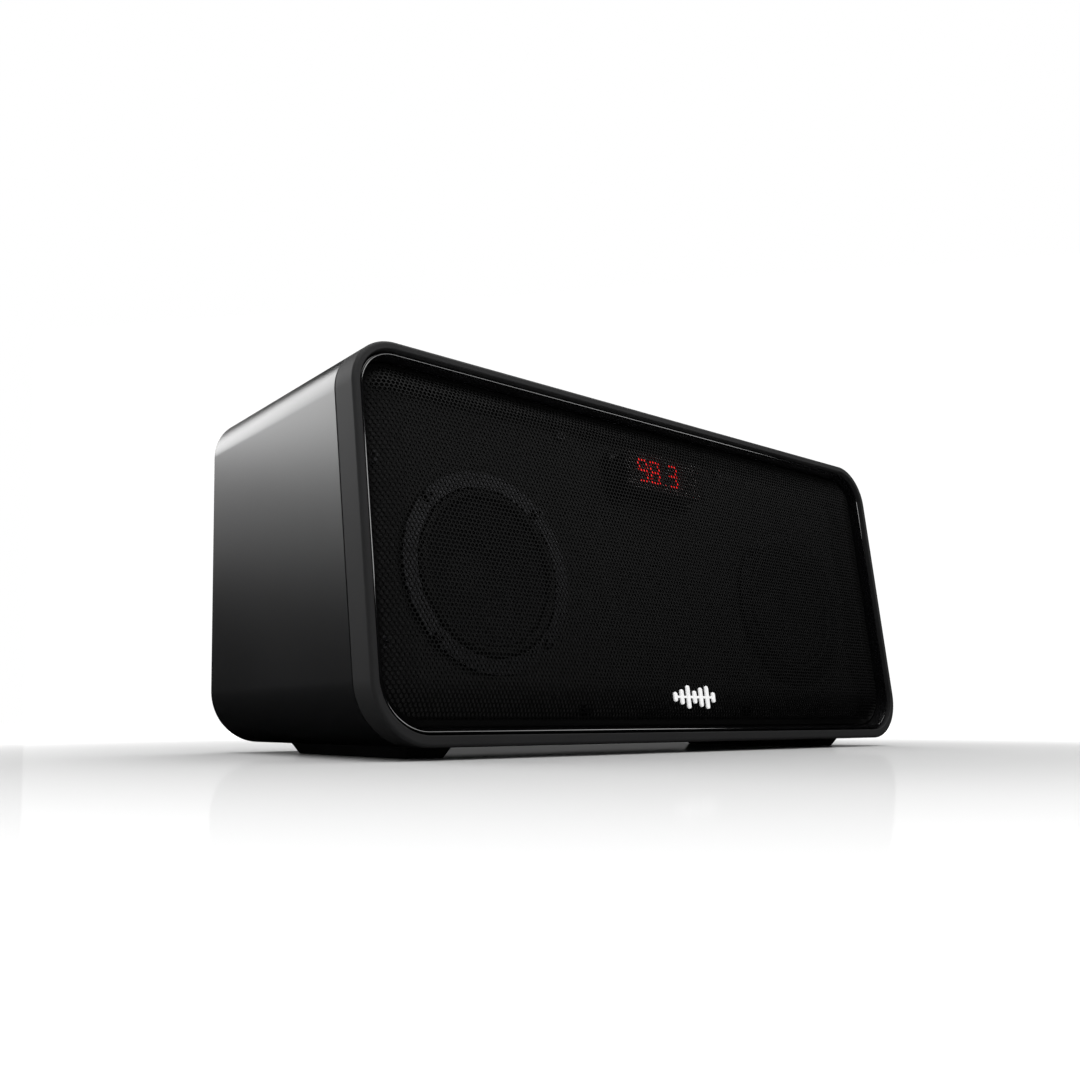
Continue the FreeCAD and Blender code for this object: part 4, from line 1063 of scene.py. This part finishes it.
# Antenna: a nickel bush holds a swivel with an elbow, and three drawn tubes slide in each other. All
# but the bush are polished chrome, with fine rings left by the drawing die.
def drawn_chrome():
    """Chromed brass tube: mirror bright, with rings of fine draw marks along X."""
    material, start = new_material("antenna_chrome_drawn")
    place = start.node("ShaderNodeTexCoord", output="Object")
    along = start.node("ShaderNodeMapping", {}, {"Vector": place, "Scale": (900.0, 12.0, 12.0)})
    rings = start.node("ShaderNodeTexNoise", {}, {"Vector": along, "Scale": 1.0, "Detail": 3.0})
    smear = noise(place, 70.0, 3.0)
    bump = start.node("ShaderNodeBump", {}, {"Strength": 0.04, "Distance": 0.00001, "Height": rings})
    shader = start.node("ShaderNodeBsdfPrincipled", {}, {
        "Base Color": smear.mix((0.72, 0.73, 0.75, 1), (0.80, 0.81, 0.82, 1)), "Metallic": 1.0,
        "Roughness": 0.07 + 0.10 * smear + 0.03 * rings, "Normal": bump})
    start.node("ShaderNodeOutputMaterial", sockets={"Surface": shader})
    return material


repaint(drawn_chrome(), "antenna_swivel", "antenna_rod", "antenna_middle", "antenna_tip")
repaint(plated_steel("antenna_bush_nickel", (0.70, 0.68, 0.63), 0.22), "antenna_socket")

# Inside: what the cabinet holds, seen only when it is taken apart. Each kind of piece has the finish
# of its own material: pressed paper cones, rubber surrounds, woven spiders, ferrite, boards and cans.
def inner_finish(name, dark, light, roughness, metallic, scale, bump_depth):
    """A plain finish whose colour and roughness wander between two values."""
    material, start = new_material(name)
    place = start.node("ShaderNodeTexCoord", output="Object")
    drift = noise(place, scale, 3.0)
    bump = start.node("ShaderNodeBump", {}, {"Strength": 0.3, "Distance": bump_depth, "Height": drift})
    shader = start.node("ShaderNodeBsdfPrincipled", {}, {
        "Base Color": drift.mix(dark + (1,), light + (1,)), "Metallic": metallic,
        "Roughness": roughness - 0.08 + 0.16 * drift, "Normal": bump})
    start.node("ShaderNodeOutputMaterial", sockets={"Surface": shader})
    return material


def woven_cloth():
    """Resin-treated cloth with a plain weave."""
    material, start = new_material("spider_woven_cloth")
    place = start.node("ShaderNodeTexCoord", output="Object")
    warp = start.node("ShaderNodeTexWave", {"bands_direction": "X"}, {"Vector": place, "Scale": 500.0})
    weft = start.node("ShaderNodeTexWave", {"bands_direction": "Z"}, {"Vector": place, "Scale": 500.0})
    cloth = warp * weft
    bump = start.node("ShaderNodeBump", {}, {"Strength": 0.4, "Distance": 0.00006, "Height": cloth})
    shader = start.node("ShaderNodeBsdfPrincipled", {}, {
        "Base Color": cloth.mix((0.30, 0.17, 0.05, 1), (0.56, 0.37, 0.13, 1)),
        "Roughness": 0.7 + 0.1 * cloth, "Normal": bump})
    start.node("ShaderNodeOutputMaterial", sockets={"Surface": shader})
    return material


def smoked_window():
    """A thin lightly smoked window that lets the LED light through."""
    material, start = new_material("display_smoked_window")
    place = start.node("ShaderNodeTexCoord", output="Object")
    tint = noise(place, 90.0, 1.0)
    clear = start.node("ShaderNodeBsdfTransparent", {}, {
        "Color": tint.mix((0.90, 0.86, 0.86, 1), (0.94, 0.90, 0.90, 1))})
    face = start.node("ShaderNodeBsdfPrincipled", {}, {
        "Base Color": (0.02, 0.002, 0.002, 1), "Roughness": 0.12})
    both = start.node("ShaderNodeMixShader", sockets={0: 0.12, 1: clear, 2: face})
    start.node("ShaderNodeOutputMaterial", sockets={"Surface": both})
    return material


repaint(smoked_window(), "display_filter")
repaint(woven_cloth(), "spider_left", "spider_right")
INNER = (
    ("baffle_board", (0.010, 0.010, 0.010), (0.018, 0.018, 0.018), 0.60, 0.0, 700.0, 0.00006, ("baffle",)),
    ("display_block_resin", (0.004, 0.004, 0.004), (0.007, 0.007, 0.007), 0.35, 0.0, 400.0, 0.00002,
     ("display_module",)),
    ("cone_pressed_paper", (0.008, 0.008, 0.009), (0.022, 0.022, 0.024), 0.75, 0.0, 900.0, 0.00012,
     ("cone_left", "cone_right")),
    ("surround_rubber", (0.008, 0.008, 0.008), (0.014, 0.014, 0.014), 0.55, 0.0, 500.0, 0.00003,
     ("surround_left", "surround_right")),
    ("gasket_foam", (0.010, 0.010, 0.010), (0.030, 0.030, 0.030), 0.90, 0.0, 1500.0, 0.00020,
     ("driver_gaskets",)),
    ("magnet_ferrite", (0.040, 0.040, 0.042), (0.075, 0.075, 0.080), 0.55, 0.0, 600.0, 0.00004,
     ("driver_magnet_left", "driver_magnet_right")),
    ("coil_copper", (0.50, 0.20, 0.08), (0.75, 0.36, 0.18), 0.30, 1.0, 1200.0, 0.00005,
     ("voice_coil_left", "voice_coil_right")),
    ("zinc_plate", (0.48, 0.48, 0.46), (0.66, 0.65, 0.60), 0.35, 1.0, 150.0, 0.00001,
     ("driver_yoke_left", "driver_yoke_right", "panel_screws", "board_screws")),
    ("board_solder_mask", (0.010, 0.075, 0.030), (0.018, 0.120, 0.050), 0.35, 0.0, 350.0, 0.00003,
     ("main_board", "power_board", "control_board")),
    ("component_bodies", (0.012, 0.012, 0.013), (0.040, 0.040, 0.042), 0.45, 0.0, 220.0, 0.00004,
     ("main_board_parts", "power_parts", "key_switches")),
    ("heat_sink_aluminium", (0.55, 0.56, 0.57), (0.70, 0.71, 0.72), 0.38, 1.0, 260.0, 0.00002,
     ("heat_sink",)),
    ("lead_sleeve_red", (0.14, 0.008, 0.008), (0.24, 0.016, 0.016), 0.50, 0.0, 300.0, 0.00002,
     ("speaker_leads",)),
    ("ribbon_sheath_grey", (0.26, 0.26, 0.27), (0.38, 0.38, 0.39), 0.50, 0.0, 500.0, 0.00003,
     ("ribbon_cable",)),
)
for *look, names in INNER:
    repaint(inner_finish(*look), *names)
